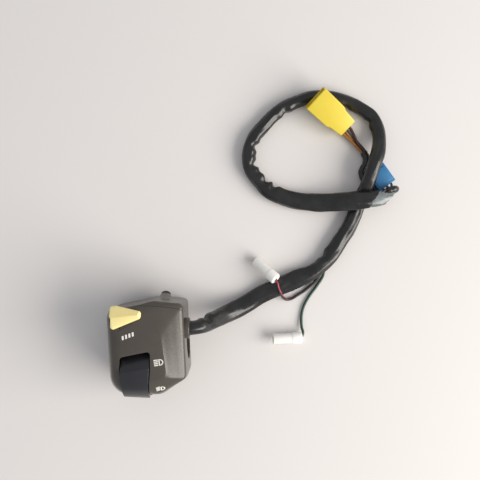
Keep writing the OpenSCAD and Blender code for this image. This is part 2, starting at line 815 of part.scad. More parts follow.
module bullet_sleeve_a() { bullet_sleeve(bullet_a_wire, bullet_a_mouth); }
module bullet_barrel_a() { bullet_barrel(bullet_a_wire, bullet_a_mouth); }
module bullet_sleeve_b() { bullet_sleeve(bullet_b_wire, bullet_b_mouth); }
module bullet_barrel_b() { bullet_barrel(bullet_b_wire, bullet_b_mouth); }

switch_half();
clamp_half();
case_screws();
cable_grommet();
dimmer_rocker();
dimmer_pin();
dimmer_wiper();
dimmer_base();
dimmer_contacts();
pass_trigger();
pass_pin();
pass_spring();
pass_contacts();
turn_carriage();
turn_knob();
turn_spring();
turn_contacts();
horn_button();
horn_spring();
horn_contacts();
contact_board();
board_screws();
harness_sleeve();
yellow_wires();
blue_wires();
wire_tape();
black_lead();
green_lead();
yellow_connector();
yellow_terminals();
blue_connector();
blue_terminals();
bullet_sleeve_a();
bullet_barrel_a();
bullet_sleeve_b();
bullet_barrel_b();
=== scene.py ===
"""Left-hand handlebar switch cluster on its harness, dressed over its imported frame."""
from math import atan2, cos, exp, pi, radians, sin, tan

import bmesh
import bpy
from mathutils import Matrix, Vector, noise
from mathutils.bvhtree import BVHTree


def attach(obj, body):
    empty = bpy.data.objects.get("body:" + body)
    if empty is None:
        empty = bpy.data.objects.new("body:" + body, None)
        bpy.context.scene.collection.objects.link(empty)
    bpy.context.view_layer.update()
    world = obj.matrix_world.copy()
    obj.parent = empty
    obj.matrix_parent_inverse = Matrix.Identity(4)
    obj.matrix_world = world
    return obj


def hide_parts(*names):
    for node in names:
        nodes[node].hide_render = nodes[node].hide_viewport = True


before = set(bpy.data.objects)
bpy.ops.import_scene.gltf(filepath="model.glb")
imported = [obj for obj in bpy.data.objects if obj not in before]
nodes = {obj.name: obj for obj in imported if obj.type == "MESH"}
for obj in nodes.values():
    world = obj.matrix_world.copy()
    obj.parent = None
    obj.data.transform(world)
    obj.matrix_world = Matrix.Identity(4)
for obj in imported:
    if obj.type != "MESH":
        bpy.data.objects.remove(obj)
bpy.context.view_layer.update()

# Shapes are drawn in millimetres and turned to metres when a piece is made
MM = 0.001
FLOOR_Z = -17.0

# Camera: straight down on the middle of the photograph
VIEW_CENTRE = Vector((57.0, 63.5))
CAMERA_HEIGHT = 400.0
MM_PER_PIXEL = 0.66
FRAME_PIXELS = 480


def make_camera():
    half_width = MM_PER_PIXEL * FRAME_PIXELS / 2
    data = bpy.data.cameras.new("photo_camera")
    data.sensor_width = 36.0
    data.lens = data.sensor_width / 2 * CAMERA_HEIGHT / half_width
    data.clip_start = 0.01
    camera = bpy.data.objects.new("photo_camera", data)
    camera.location = Vector((VIEW_CENTRE.x, VIEW_CENTRE.y, FLOOR_Z + CAMERA_HEIGHT)) * MM
    bpy.context.scene.collection.objects.link(camera)
    bpy.context.scene.camera = camera


make_camera()


# Mesh helpers

def smooth_path(points, step):
    """Points every step along a smooth curve through the given ones."""
    points = [Vector(p) for p in points]
    ends = [2 * points[0] - points[1]] + points + [2 * points[-1] - points[-2]]
    fine = []
    for a, b, c, d in zip(ends, ends[1:], ends[2:], ends[3:]):
        for k in range(24):
            t = k / 24
            fine.append(0.5 * (2 * b + (c - a) * t + (2 * a - 5 * b + 4 * c - d) * t**2
                               + (3 * b - a - 3 * c + d) * t**3))
    fine.append(points[-1])
    lengths = [0.0]
    for p, q in zip(fine, fine[1:]):
        lengths.append(lengths[-1] + (q - p).length)
    count = max(2, round(lengths[-1] / step))
    result = []
    k = 0
    for i in range(count + 1):
        want = lengths[-1] * i / count
        while k < len(lengths) - 2 and lengths[k + 1] < want:
            k += 1
        share = (want - lengths[k]) / max(lengths[k + 1] - lengths[k], 1e-9)
        result.append(fine[k].lerp(fine[k + 1], min(1.0, share)))
    return result


def path_length(path):
    return sum((q - p).length for p, q in zip(path, path[1:]))


def path_frames(path, level=False):
    """The point, side and up of each point on a path, carried along it without twist or kept level."""
    last = len(path) - 1
    side = None
    result = []
    for k, point in enumerate(path):
        ahead = (path[min(k + 1, last)] - path[max(k - 1, 0)]).normalized()
        if level or side is None:
            side = ahead.cross(Vector((0, 0, 1)))
        side = (side - side.dot(ahead) * ahead).normalized()
        result.append((point, side, side.cross(ahead)))
    return result


def loft(rings, close=True, length=None):
    """A skin drawn ring by ring: the first ring's edges are extruded to each next one.

    With a length, the UV map holds the turn round the skin and the millimetres along it."""
    bm = bmesh.new()
    row = [bm.verts.new(p) for p in rings[0]]
    spots = {vert: (i, 0) for i, vert in enumerate(row)}
    edges = [bm.edges.new((a, b)) for a, b in zip(row, row[1:] + row[:1])]
    if close:
        bm.faces.new(row)
    for k, ring in enumerate(rings[1:], 1):
        made = bmesh.ops.extrude_edge_only(bm, edges=edges)["geom"]
        fresh = {g for g in made if isinstance(g, bmesh.types.BMVert)}
        row = [next(e.other_vert(v) for e in v.link_edges if e.other_vert(v) in fresh) for v in row]
        edges = [bm.edges.get((a, b)) for a, b in zip(row, row[1:] + row[:1])]
        for i, (vert, place) in enumerate(zip(row, ring)):
            vert.co = place
            spots[vert] = (i, k)
    if close:
        bm.faces.new(row)
    bmesh.ops.recalc_face_normals(bm, faces=bm.faces)
    if length:
        uv = bm.loops.layers.uv.new("along")
        for face in bm.faces:
            turns = [spots[loop.vert][0] / len(row) for loop in face.loops]
            wraps = max(turns) - min(turns) > 0.5
            for loop, turn in zip(face.loops, turns):
                share = spots[loop.vert][1] / (len(rings) - 1)
                loop[uv].uv = (turn + 1 if wraps and turn < 0.5 else turn, length * share)
    return bm


def box_between(low, high):
    bm = bmesh.new()
    bmesh.ops.create_cube(bm, size=1)
    size = Vector(high) - Vector(low)
    bmesh.ops.scale(bm, vec=size, verts=bm.verts)
    bmesh.ops.translate(bm, vec=(Vector(high) + Vector(low)) / 2, verts=bm.verts)
    return bm


def rod(radius, start, end, segments=64, end_radius=None):
    """A closed cylinder or cone between two points."""
    bm = bmesh.new()
    line = Vector(end) - Vector(start)
    turn = Vector((0, 0, 1)).rotation_difference(line).to_matrix().to_4x4()
    place = Matrix.Translation((Vector(start) + Vector(end)) / 2) @ turn
    bmesh.ops.create_cone(bm, cap_ends=True, segments=segments, radius1=radius,
                          radius2=radius if end_radius is None else end_radius,
                          depth=line.length, matrix=place)
    return bm


def prism(outline, depth, place):
    """A flat outline pushed up by depth and put in place."""
    bm = bmesh.new()
    face = bm.faces.new([bm.verts.new((p[0], p[1], 0)) for p in outline])
    made = bmesh.ops.extrude_face_region(bm, geom=[face])["geom"]
    verts = [g for g in made if isinstance(g, bmesh.types.BMVert)]
    bmesh.ops.translate(bm, vec=(0, 0, depth), verts=verts)
    bmesh.ops.recalc_face_normals(bm, faces=bm.faces)
    bmesh.ops.transform(bm, matrix=place, verts=bm.verts)
    return bm


def lathe(profile, start, end, segments=40):
    """A profile of (radius, height) spun about the line from start to end."""
    bm = bmesh.new()
    verts = [bm.verts.new((r, 0, h)) for r, h in profile]
    edges = [bm.edges.new(pair) for pair in zip(verts, verts[1:] + verts[:1])]
    bmesh.ops.spin(bm, geom=verts + edges, cent=(0, 0, 0), axis=(0, 0, 1), angle=2 * pi,
                   steps=segments, use_merge=True)
    bmesh.ops.remove_doubles(bm, verts=bm.verts, dist=1e-4)
    bmesh.ops.recalc_face_normals(bm, faces=bm.faces)
    line = (Vector(end) - Vector(start)).normalized()
    turn = Vector((0, 0, 1)).rotation_difference(line).to_matrix().to_4x4()
    bmesh.ops.transform(bm, matrix=Matrix.Translation(start) @ turn, verts=bm.verts)
    return bm


def round_edges(bm, width, angle=30, segments=3):
    """Bevels every edge that turns more than an angle."""
    sharp = [e for e in bm.edges if e.is_manifold and e.calc_face_angle(0) > radians(angle)]
    bmesh.ops.bevel(bm, geom=sharp, offset=width, offset_type="OFFSET", segments=segments,
                    profile=0.5, affect="EDGES", material=-1, clamp_overlap=True)


def join(*parts):
    """One bmesh that holds the faces of several."""
    whole = bmesh.new()
    for part in parts:
        mesh = bpy.data.meshes.new("part")
        part.to_mesh(mesh)
        whole.from_mesh(mesh)
        bpy.data.meshes.remove(mesh)
        part.free()
    return whole


def scratch_object(bm):
    mesh = bpy.data.meshes.new("scratch")
    bm.to_mesh(mesh)
    bm.free()
    made = bpy.data.objects.new("scratch", mesh)
    bpy.context.scene.collection.objects.link(made)
    return made


def cut(bm, *steps):
    """Joins or cuts solids in turn: each step is a word, DIFFERENCE, UNION or INTERSECT, and a solid."""
    base = scratch_object(bm)
    tools = []
    for word, tool in steps:
        tools.append(scratch_object(tool))
        change = base.modifiers.new(word.lower(), "BOOLEAN")
        change.operation = word
        change.solver = "EXACT"
        change.use_hole_tolerant = True
        change.object = tools[-1]
    bpy.context.view_layer.update()
    mesh = bpy.data.meshes.new_from_object(base.evaluated_get(bpy.context.evaluated_depsgraph_get()))
    result = bmesh.new()
    result.from_mesh(mesh)
    bpy.data.meshes.remove(mesh)
    for item in [base] + tools:
        data = item.data
        bpy.data.objects.remove(item)
        bpy.data.meshes.remove(data)
    bmesh.ops.remove_doubles(result, verts=result.verts, dist=1e-3)
    bmesh.ops.dissolve_degenerate(result, edges=result.edges, dist=1e-3)
    return result


def piece(name, bm, material, body, stands_for=(), smooth_angle=35):
    """Makes a finished piece from a bmesh in millimetres and lets it ride on a body."""
    bmesh.ops.scale(bm, vec=(MM, MM, MM), verts=bm.verts)
    mesh = bpy.data.meshes.new(name)
    for face in bm.faces:
        face.smooth = True
    for edge in bm.edges:
        edge.smooth = not edge.is_manifold or edge.calc_face_angle(0) < radians(smooth_angle)
    bm.to_mesh(mesh)
    bm.free()
    made = bpy.data.objects.new(name, mesh)
    made.data.materials.append(material)
    bpy.context.scene.collection.objects.link(made)
    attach(made, body)
    if stands_for:
        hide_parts(*stands_for)
    return made


# Materials

def linear(code):
    """A linear colour from an sRGB hex code."""
    parts = [int(code[i:i + 2], 16) / 255 for i in (1, 3, 5)]
    return tuple(p / 12.92 if p <= 0.04045 else ((p + 0.055) / 1.055) ** 2.4 for p in parts) + (1.0,)


def add(tree, kind, inputs=None, **settings):
    """Adds a node: settings are its own, and an input takes a value or another node's output."""
    made = tree.nodes.new(kind)
    for key, value in settings.items():
        setattr(made, key, value)
    for key, value in (inputs or {}).items():
        if isinstance(value, bpy.types.NodeSocket):
            tree.links.new(value, made.inputs[key])
        else:
            made.inputs[key].default_value = value
    return made


def new_material(name):
    material = bpy.data.materials.new(name)
    material.use_nodes = True
    tree = material.node_tree
    tree.nodes.clear()
    return material, tree


def per_metre(size_mm):
    """A texture scale whose features are about this many millimetres."""
    return 1 / (size_mm * MM)


def finish_material(tree, **inputs):
    """The surface shader and the output, from the names and values of its sockets."""
    names = {key.replace("_", " "): value for key, value in inputs.items()}
    shader = add(tree, "ShaderNodeBsdfPrincipled", names)
    add(tree, "ShaderNodeOutputMaterial", {"Surface": shader.outputs[0]})


def moulded_plastic(name, light, dark, roughness, grain_mm, grain_depth, patch_mm=9.0):
    """A moulded plastic: slow mottling of its colour and a fine grain that breaks the gloss."""
    material, tree = new_material(name)
    place = add(tree, "ShaderNodeTexCoord").outputs["Object"]
    patches = add(tree, "ShaderNodeTexNoise", {"Vector": place, "Scale": per_metre(patch_mm), "Detail": 4.0})
    colour = add(tree, "ShaderNodeMix", {"Factor": patches.outputs["Fac"], 6: linear(dark), 7: linear(light)},
                 data_type="RGBA")
    gloss = add(tree, "ShaderNodeMapRange", {"Value": patches.outputs["Fac"], "To Min": roughness - 0.06,
                                             "To Max": roughness + 0.08})
    grain = add(tree, "ShaderNodeTexNoise", {"Vector": place, "Scale": per_metre(grain_mm), "Detail": 2.0})
    bump = add(tree, "ShaderNodeBump", {"Height": grain.outputs["Fac"], "Strength": 0.35,
                                        "Distance": grain_depth * MM})
    finish_material(tree, Base_Color=colour.outputs[2], Roughness=gloss.outputs[0], IOR=1.5,
                    Normal=bump.outputs[0])
    return material


def wire_plastic(name, base, stripe=None):
    """PVC wire insulation: a satin skin with faint rings of handling, and a tracer that winds round it."""
    material, tree = new_material(name)
    uv = add(tree, "ShaderNodeUVMap", uv_map="along").outputs[0]
    parts = add(tree, "ShaderNodeSeparateXYZ", {0: uv})
    marks = add(tree, "ShaderNodeTexNoise", {"W": parts.outputs["Y"], "Scale": 0.6, "Detail": 3.0},
                noise_dimensions="1D")
    handled = [0.55 * c for c in linear(base)[:3]] + [1.0]
    shade = add(tree, "ShaderNodeMix", {"Factor": marks.outputs["Fac"], 6: handled, 7: linear(base)},
                data_type="RGBA")
    tone = shade.outputs[2]
    if stripe:
        wound = add(tree, "ShaderNodeMath", {0: parts.outputs["Y"], 1: -0.015, 2: parts.outputs["X"]},
                    operation="MULTIPLY_ADD")
        turn = add(tree, "ShaderNodeMath", {0: wound.outputs[0]}, operation="FRACT")
        band = add(tree, "ShaderNodeMath", {0: turn.outputs[0], 1: 0.56, 2: 0.09}, operation="COMPARE")
        line = add(tree, "ShaderNodeMix", {"Factor": band.outputs[0], 6: tone, 7: linear(stripe)},
                   data_type="RGBA")
        tone = line.outputs[2]
    gloss = add(tree, "ShaderNodeMapRange", {"Value": marks.outputs["Fac"], "To Min": 0.32, "To Max": 0.5})
    finish_material(tree, Base_Color=tone, Roughness=gloss.outputs[0], IOR=1.53)
    return material


def sleeve_vinyl(name, base, haze, gloss_from, gloss_to):
    """Soft PVC sleeving: glossy, with dusty haze in patches and fine crinkles that break its shine."""
    material, tree = new_material(name)
    place = add(tree, "ShaderNodeTexCoord").outputs["Object"]
    dust = add(tree, "ShaderNodeTexNoise", {"Vector": place, "Scale": per_metre(14.0), "Detail": 6.0,
                                            "Roughness": 0.65})
    amount = add(tree, "ShaderNodeMapRange", {"Value": dust.outputs["Fac"],
                                              "From Min": 0.45, "From Max": 0.75,
                                              "To Max": 0.7})
    tone = add(tree, "ShaderNodeMix", {"Factor": amount.outputs[0], 6: linear(base), 7: linear(haze)},
               data_type="RGBA")
    gloss = add(tree, "ShaderNodeMapRange", {"Value": dust.outputs["Fac"], "From Min": 0.3, "From Max": 0.75,
                                             "To Min": gloss_from, "To Max": gloss_to})
    crinkle = add(tree, "ShaderNodeTexNoise", {"Vector": place, "Scale": per_metre(5.0), "Detail": 2.0,
                                               "Distortion": 0.6})
    bump = add(tree, "ShaderNodeBump", {"Height": crinkle.outputs["Fac"], "Strength": 0.18,
                                        "Distance": 0.25 * MM})
    finish_material(tree, Base_Color=tone.outputs[2], Roughness=gloss.outputs[0], IOR=1.53,
                    Normal=bump.outputs[0])
    return material


def stamped_metal(name, base, roughness, scratch_mm=0.6):
    """Bare stamped or turned metal: fine scratches that vary its polish."""
    material, tree = new_material(name)
    place = add(tree, "ShaderNodeTexCoord").outputs["Object"]
    marks = add(tree, "ShaderNodeTexNoise", {"Vector": place, "Scale": per_metre(scratch_mm), "Detail": 4.0})
    gloss = add(tree, "ShaderNodeMapRange", {"Value": marks.outputs["Fac"], "To Min": roughness - 0.1,
                                             "To Max": roughness + 0.15})
    dull = [0.75 * c for c in linear(base)[:3]] + [1.0]
    tone = add(tree, "ShaderNodeMix", {"Factor": marks.outputs["Fac"], 6: dull, 7: linear(base)},
               data_type="RGBA")
    finish_material(tree, Base_Color=tone.outputs[2], Roughness=gloss.outputs[0], Metallic=1.0)
    return material


# Satin ABS of the case: warm dark grey, spark-eroded grain drawn coarse enough to show
case_abs = moulded_plastic("case_abs", "#4f4943", "#443f39", 0.24, 0.45, 0.03)
# Black acetal of the controls: blue-black with a soft shine
control_acetal = moulded_plastic("control_acetal", "#27282d", "#1f1f23", 0.3, 0.5, 0.03)
# Pale yellow ABS of the flash trigger
trigger_abs = moulded_plastic("trigger_abs", "#fff2b2", "#fde694", 0.36, 0.6, 0.02)
# Connector nylons: dull, faintly cloudy
yellow_nylon = moulded_plastic("yellow_nylon", "#e6cf47", "#dcc43c", 0.42, 0.7, 0.03)
blue_nylon = moulded_plastic("blue_nylon", "#3c83b0", "#29659a", 0.36, 0.7, 0.03, patch_mm=7.0)
white_nylon = moulded_plastic("white_nylon", "#fbfaf6", "#f1eee6", 0.36, 0.7, 0.02, patch_mm=5.0)
# Resin-bonded paper of the contact boards
board_phenolic = moulded_plastic("board_phenolic", "#84603f", "#6d4a30", 0.5, 0.4, 0.04)
# White pad print of the lamp signs
pad_print = moulded_plastic("pad_print", "#f2f0ea", "#dcd8d0", 0.55, 0.3, 0.01, patch_mm=1.5)
grommet_rubber = moulded_plastic("grommet_rubber", "#232323", "#191919", 0.6, 0.4, 0.05)
black_zinc = moulded_plastic("black_zinc", "#1d1d1f", "#121214", 0.3, 0.4, 0.03)
# Black PVC of the sleeve, and the clear grey vinyl liner that shows in its torn mouth
sleeve_pvc = sleeve_vinyl("sleeve_pvc", "#141415", "#2c2c2b", 0.2, 0.36)
liner_pvc = sleeve_vinyl("liner_pvc", "#62686a", "#aab0b1", 0.12, 0.25)
contact_brass = stamped_metal("contact_brass", "#d2ac58", 0.32)
spring_steel = stamped_metal("spring_steel", "#b9b9b7", 0.3)

# Cords

SLEEVE_D = 9.2
LAY_Z = FLOOR_Z + SLEEVE_D / 2
# Each point is a place, then the sleeve's half width and half height there
HARNESS_ROUTE = [
    (21, 10, 14, 4.5, 4.5), (27, 10, 14, 4.4, 4.4), (33.5, 10.5, 10.5, 4.4, 4.4), (40, 12.8, 2, 5.3, 4.2),
    (50, 16.5, -8, 5.7, 3.9), (62, 22.3, LAY_Z, 5.8, 3.7), (74.5, 29.5, LAY_Z, 5.8, 3.6),
    (94, 38, LAY_Z, 5.9, 3.7), (103, 41.8, LAY_Z, 5.0, 3.8), (110.5, 46.8, LAY_Z, 4.5, 4.0),
    (116.5, 53.8, LAY_Z, 5.0, 4.0), (122, 62.2, LAY_Z, 4.9, 4.1), (127, 70, LAY_Z, 4.9, 4.1),
    (131, 78, LAY_Z, 4.9, 4.0), (135, 89, LAY_Z, 4.8, 3.9), (138, 96.5, -8.8, 4.5, 4.1),
    (140.2, 104, -4.5, 4.3, 4.2), (142.6, 111.5, -4.2, 4.4, 4.2), (145.4, 119, -6, 4.5, 4.3),
    (147.2, 127, -9.4, 4.4, 4.3), (147.2, 135, LAY_Z, 4.3, 4.3), (143.7, 143, LAY_Z, 4.2, 4.3),
    (138.4, 147.7, LAY_Z, 4.2, 4.3), (124.6, 154.7, LAY_Z, 4.1, 4.3), (108, 157, LAY_Z, 4.1, 4.2),
    (93.5, 153.5, LAY_Z, 4.1, 4.2), (82.5, 147.8, LAY_Z, 4.2, 4.2), (73, 138.6, LAY_Z, 4.2, 4.1),
    (65.4, 129.4, LAY_Z, 4.2, 4.1), (62.6, 118.8, LAY_Z, 4.2, 4.1), (64, 109.4, LAY_Z, 4.3, 4.1),
    (70, 101.4, LAY_Z, 4.5, 4.0), (76, 95.6, LAY_Z, 4.9, 3.9), (84.5, 91.6, LAY_Z, 5.3, 3.8),
    (96, 88.8, -11.8, 5.7, 3.6), (110, 87.8, -9.4, 5.9, 3.5), (123, 88.2, -5.6, 5.9, 3.5),
    (133.5, 89, -4.4, 5.9, 3.5), (145, 90.2, -4.8, 5.5, 3.4), (153.2, 92, -6, 4.5, 3.0),
    (158.4, 93.4, -7.6, 3.2, 2.6),
]
YELLOW_WIRES_ROUTE = [
    (145.5, 90.6, -5.2), (150.4, 91.4, -6), (152.8, 91.8, -9.9), (150.4, 92.2, -13.9), (146.4, 93.2, -14.7),
    (143.8, 95.6, -14.7), (141.6, 99, -14.7), (138.4, 103.4, -14.7), (137, 108.4, -14.7), (139.4, 113, -14.7),
    (139.9, 117, -14.6), (138.0, 121.2, -14.5), (133.4, 126.4, -14.2), (128.3, 133.2, -13.15),
    (125.36, 135.53, -12.04),
]
BLUE_WIRES_ROUTE = [
    (151, 95.2, -5.2), (155.8, 96.2, -5.6), (157.6, 96.4, -9), (156.6, 95.8, -12.2), (154.8, 96.31, -13.3),
    (152.91, 98.94, -13.3),
]
BLACK_LEAD_ROUTE = [
    (110, 45, -10.8), (107, 37.5, -14.5), (100.5, 31, -16), (94.5, 27, -16), (90.5, 24.7, -16),
    (87, 24.6, -15),
    (84.5, 26.8, -11.5), (82.9, 29.8, -6.3), (81.6, 32.8, -5.8), (81, 36, -5.6), (79, 39.25, -6.65),
]
GREEN_LEAD_ROUTE = [
    (112, 43.6, -13.4), (111, 38.8, -15.6), (107.3, 33, -16), (102.3, 26.2, -16), (99, 20, -16),
    (97.5, 14, -16),
    (97.4, 7, -15), (98.2, 3.6, -14.1), (97.9, 1.2, -13.5), (96.2, -0.4, -13.1),
]
LEAD_R, BLUE_LEAD_R = 0.9, 0.8


def wire(name, route, radius, material, stands_for=()):
    """A thin round wire along a route, closed at its ends."""
    sides = 12
    path = smooth_path(route, 1.0)
    rings = []
    for point, side, up in path_frames(path):
        rings.append([point + radius * (cos(a) * side + sin(a) * up)
                      for a in (2 * pi * i / sides for i in range(sides))])
    bm = loft(rings, length=path_length(path))
    return piece(name, bm, material, "case", stands_for), path


# Places in plan where the sleeve is pinched on the inside of a bend, with the depth of each dent
SLEEVE_KINKS = [
    ((36.0, 11.5), 1.3), ((63.5, 125.6), 1.4), ((64.8, 112.5), 1.5), ((71.4, 99.4), 1.6), ((76.6, 94.2), 1.2),
    ((85.1, 149.7), 0.9), ((114.0, 51.0), 1.0), ((144.0, 142.5), 0.9), ((127.0, 153.0), 0.7),
]
KINK_REACH = 2.4
SLEEVE_SIDES = 40
SLEEVE_STEP = 0.9
SLEEVE_ANGLES = [2 * pi * i / SLEEVE_SIDES for i in range(SLEEVE_SIDES)]
# The torn end: rows that lean, how far the sleeve and its liner stop short, and how much more on one side
TORN_ROWS = 40
SLEEVE_SHORT, SLEEVE_TEAR = 11.0, 8.5
LINER_SHORT, LINER_TEAR = 0.0, 10.0
# How far round the liner its most torn side lies below the sleeve's
LINER_TURN = radians(20)
LINER_ROWS = 46


def sleeve_skin(along, angle):
    """How far the slack vinyl stands out of its section: folds round it and lengthwise pleats."""
    round_it = Vector((cos(angle), sin(angle)))
    fold = noise.noise(Vector((along / 11, 1.8 * round_it.x, 1.8 * round_it.y)))
    pleat = abs(noise.noise(Vector((along / 24 + 40, 1.5 * round_it.x, 1.5 * round_it.y))))
    crease = abs(noise.noise(Vector((along / 3.6 + 90, 2.6 * round_it.x, 2.6 * round_it.y))))
    return 0.4 * fold + 0.5 * (0.3 - pleat) + 0.16 * (0.25 - crease)


def sleeve_grid():
    """Rows of points round the sleeve, flattened where it lies, pinched at its kinks, and its middle line."""
    samples = smooth_path(HARNESS_ROUTE, SLEEVE_STEP)
    path = []
    for s in samples:
        resting = min(1.0, max(0.0, (8 - s[2]) / 12))
        path.append(Vector((s[0], s[1], s[2] - resting * (SLEEVE_D / 2 - s[4]))))
    kinks = []
    for place, depth in SLEEVE_KINKS:
        nearest = min(range(len(path)), key=lambda k: (path[k].xy - Vector(place)).length)
        kinks.append((nearest, depth))
    grid = []
    for k, ((point, side, up), sample) in enumerate(zip(path_frames(path, level=True), samples)):
        loose = min(1.0, max(0.0, (SLEEVE_STEP * k - 5) / 6))
        row = []
        for angle in SLEEVE_ANGLES:
            out = loose * sleeve_skin(SLEEVE_STEP * k, angle)
            for nearest, depth in kinks:
                far = SLEEVE_STEP * (k - nearest) / KINK_REACH
                inside = max(0.0, -cos(angle)) ** 0.7
                out += loose * depth * inside * (0.55 * exp(-(abs(far) - 1.7) ** 2) - exp(-far * far))
            spot = point + (sample[3] + out) * cos(angle) * side + (sample[4] + out) * sin(angle) * up
            spot.z = max(spot.z, FLOOR_Z + 0.05)
            row.append(spot)
        grid.append(row)
    return grid, path


def torn_tube(grid, first, stop, tear, tear_turn, size, wall):
    """A thin tube along the rows from one on, drawn in to a size, with a slanted, ragged end and a wall."""
    middles = [sum(row, Vector()) / len(row) for row in grid]
    last = len(grid) - 1

    def spot(k, i, share):
        lean = max(0.0, (k - last + TORN_ROWS) / TORN_ROWS)
        ragged = 1.3 * noise.noise(Vector((0.8 * i, tear, 3.1)))
        ragged += 0.6 * noise.noise(Vector((0.27 * i, tear, 9.7)))
        slope = stop + tear * (0.5 + 0.5 * cos(SLEEVE_ANGLES[i] + tear_turn))
        short = lean * (slope + lean * (1.2 + ragged)) / SLEEVE_STEP
        at = min(last - 0.001, max(first, k - short))
        low, part = int(at), at - int(at)
        middle = middles[low].lerp(middles[low + 1], part)
        return middle + share * (grid[low][i].lerp(grid[low + 1][i], part) - middle)

    sides = range(SLEEVE_SIDES)
    rings = [[spot(k, i, size) for i in sides] for k in range(first, last + 1)]
    rings += [[spot(k, i, size - wall) for i in sides] for k in (last, last - 2, last - 8, last - 18)]
    return loft(rings, length=SLEEVE_STEP * len(rings))


def sleeve():
    """The harness sleeve, a flattened, crinkled tube with a torn mouth, and the clear liner in it."""
    grid, path = sleeve_grid()
    outside = torn_tube(grid, 0, SLEEVE_SHORT, SLEEVE_TEAR, 0.0, 1.0, 0.05)
    liner = torn_tube(grid, len(grid) - LINER_ROWS, LINER_SHORT, LINER_TEAR, LINER_TURN, 0.94, 0.06)
    made = piece("harness_sleeve_vinyl", outside, sleeve_pvc, "case", ["harness_sleeve"], smooth_angle=60)
    lining = piece("sleeve_liner_vinyl", liner, liner_pvc, "case", smooth_angle=60)
    return made, lining, path[:-round((SLEEVE_SHORT + 1) / SLEEVE_STEP)]


harness, sleeve_liner, harness_path = sleeve()


def turned(place, yaw, pitch=0.0, roll=0.0):
    """A frame moved to a place, rolled about X, then pitched about Y, then turned about Z."""
    spin = Matrix.Rotation(radians(yaw), 4, "Z") @ Matrix.Rotation(radians(pitch), 4, "Y")
    return Matrix.Translation(place) @ spin @ Matrix.Rotation(radians(roll), 4, "X")


# Connectors: frames with X from the wire end to the front
YELLOW_LEN, YELLOW_W, YELLOW_NECK_W, YELLOW_REAR_W, YELLOW_H = 29.0, 17.0, 14.2, 12.5, 8.5
YELLOW_SHOULDER = (9.0, 11.5)
YELLOW_FRAME = turned((122.4, 134.3, FLOOR_Z + 0.1), 141.5, -16.5, -18)
YELLOW_FRAME = YELLOW_FRAME @ Matrix.Translation((0, -YELLOW_REAR_W / 2, 0))
BLUE_LEN, BLUE_W, BLUE_H = 14.0, 12.5, 7.3
BLUE_FRAME = turned((152.9, 98.95, FLOOR_Z + 0.05), 125.7)

# Wires of the yellow plug: colour, place in the bundle, and place across the plug
brown_pvc = wire_plastic("brown_pvc", "#b0742c")
tan_pvc = wire_plastic("tan_pvc", "#9a6a36")
maroon_pvc = wire_plastic("maroon_pvc", "#43201f")
grey_pvc = wire_plastic("grey_pvc", "#4f5247")
black_pvc = wire_plastic("black_pvc", "#2b2727", stripe="#9c3048")
green_pvc = wire_plastic("green_pvc", "#1f4636")
slate_pvc = wire_plastic("slate_pvc", "#2c2f3a")
YELLOW_WIRES = [
    ("brown_wire", brown_pvc, "brown_wire", (0.95, -0.95), 4.7),
    ("tan_wire", tan_pvc, "brown_wire", (0.95, 0.9), 2.9),
    ("grey_wire", grey_pvc, "dark_wire", (-0.95, 0.9), 1.1),
    ("maroon_wire", maroon_pvc, "dark_wire", (-0.95, -0.95), -0.7),
]
BLUE_WIRES = [
    ("slate_wire", slate_pvc, "dark_wire", (-0.6, 0.5), -3.0),
    ("dark_wire", maroon_pvc, "dark_wire", (1.0, 0.5), 3.0),
    ("umber_wire", slate_pvc, "dark_wire", (0.0, -0.9), 0.0),
]
BLUE_LEAD_IN = [(138, 89.6, -5.6), (145.4, 92.2, -5.4)]


def bundle_wire(route, offset):
    """A route beside a bundle's middle, kept at the same place in the bundle as it bends."""
    frames = path_frames(smooth_path(route, 2.0))
    return [point + offset[0] * side + offset[1] * up for point, side, up in frames]


cords = []
for name, material, slot, offset, across in YELLOW_WIRES:
    route = bundle_wire(YELLOW_WIRES_ROUTE[:-2], offset)
    route += [YELLOW_FRAME @ Vector((-3, across, 4)), YELLOW_FRAME @ Vector((3, across, 4))]
    hides = ["yellow_wires"] if name == "brown_wire" else []
    cords.append((*wire(name, route, LEAD_R, material, hides), "yellow"))
for name, material, slot, offset, across in BLUE_WIRES:
    route = bundle_wire(BLUE_LEAD_IN + BLUE_WIRES_ROUTE[:-1], offset)
    route += [BLUE_FRAME @ Vector((-1.5, across, 3.7)), BLUE_FRAME @ Vector((2.5, across, 3.7))]
    hides = ["blue_wires"] if name == "slate_wire" else []
    cords.append((*wire(name, route, BLUE_LEAD_R, material, hides), "blue"))
black_lead = wire("black_lead_pvc", BLACK_LEAD_ROUTE, LEAD_R, black_pvc, ["black_lead"])
green_lead = wire("green_lead_pvc", GREEN_LEAD_ROUTE, LEAD_R, green_pvc, ["green_lead"])
cords += [(*black_lead, "bullet_a"), (*green_lead, "bullet_b")]


# Tape wound round the wires of both plugs
def tape_wrap(route, reach):
    """A closed skin round a bundle that steps out a little at each lap of the tape."""
    sides, step, lap_len = 24, 0.45, 3.2
    path = smooth_path(route, step)
    rings = []
    for k, (point, side, up) in enumerate(path_frames(path)):
        ring = []
        for i in range(sides):
            angle = 2 * pi * i / sides
            lap = ((step * k / lap_len + i / sides) % 1.0) * 0.22
            radius = reach + lap - (0.2 if k in (0, len(path) - 1) else 0)
            ring.append(point + radius * (cos(angle) * side + sin(angle) * up))
        rings.append(ring)
    return loft(rings)


tape = join(tape_wrap(YELLOW_WIRES_ROUTE[6:12], 2.25), tape_wrap(BLUE_WIRES_ROUTE[:5], 2.1))
piece("wire_tape_vinyl", tape, sleeve_pvc, "case", ["wire_tape"])


# Connector shells and bullet sleeves

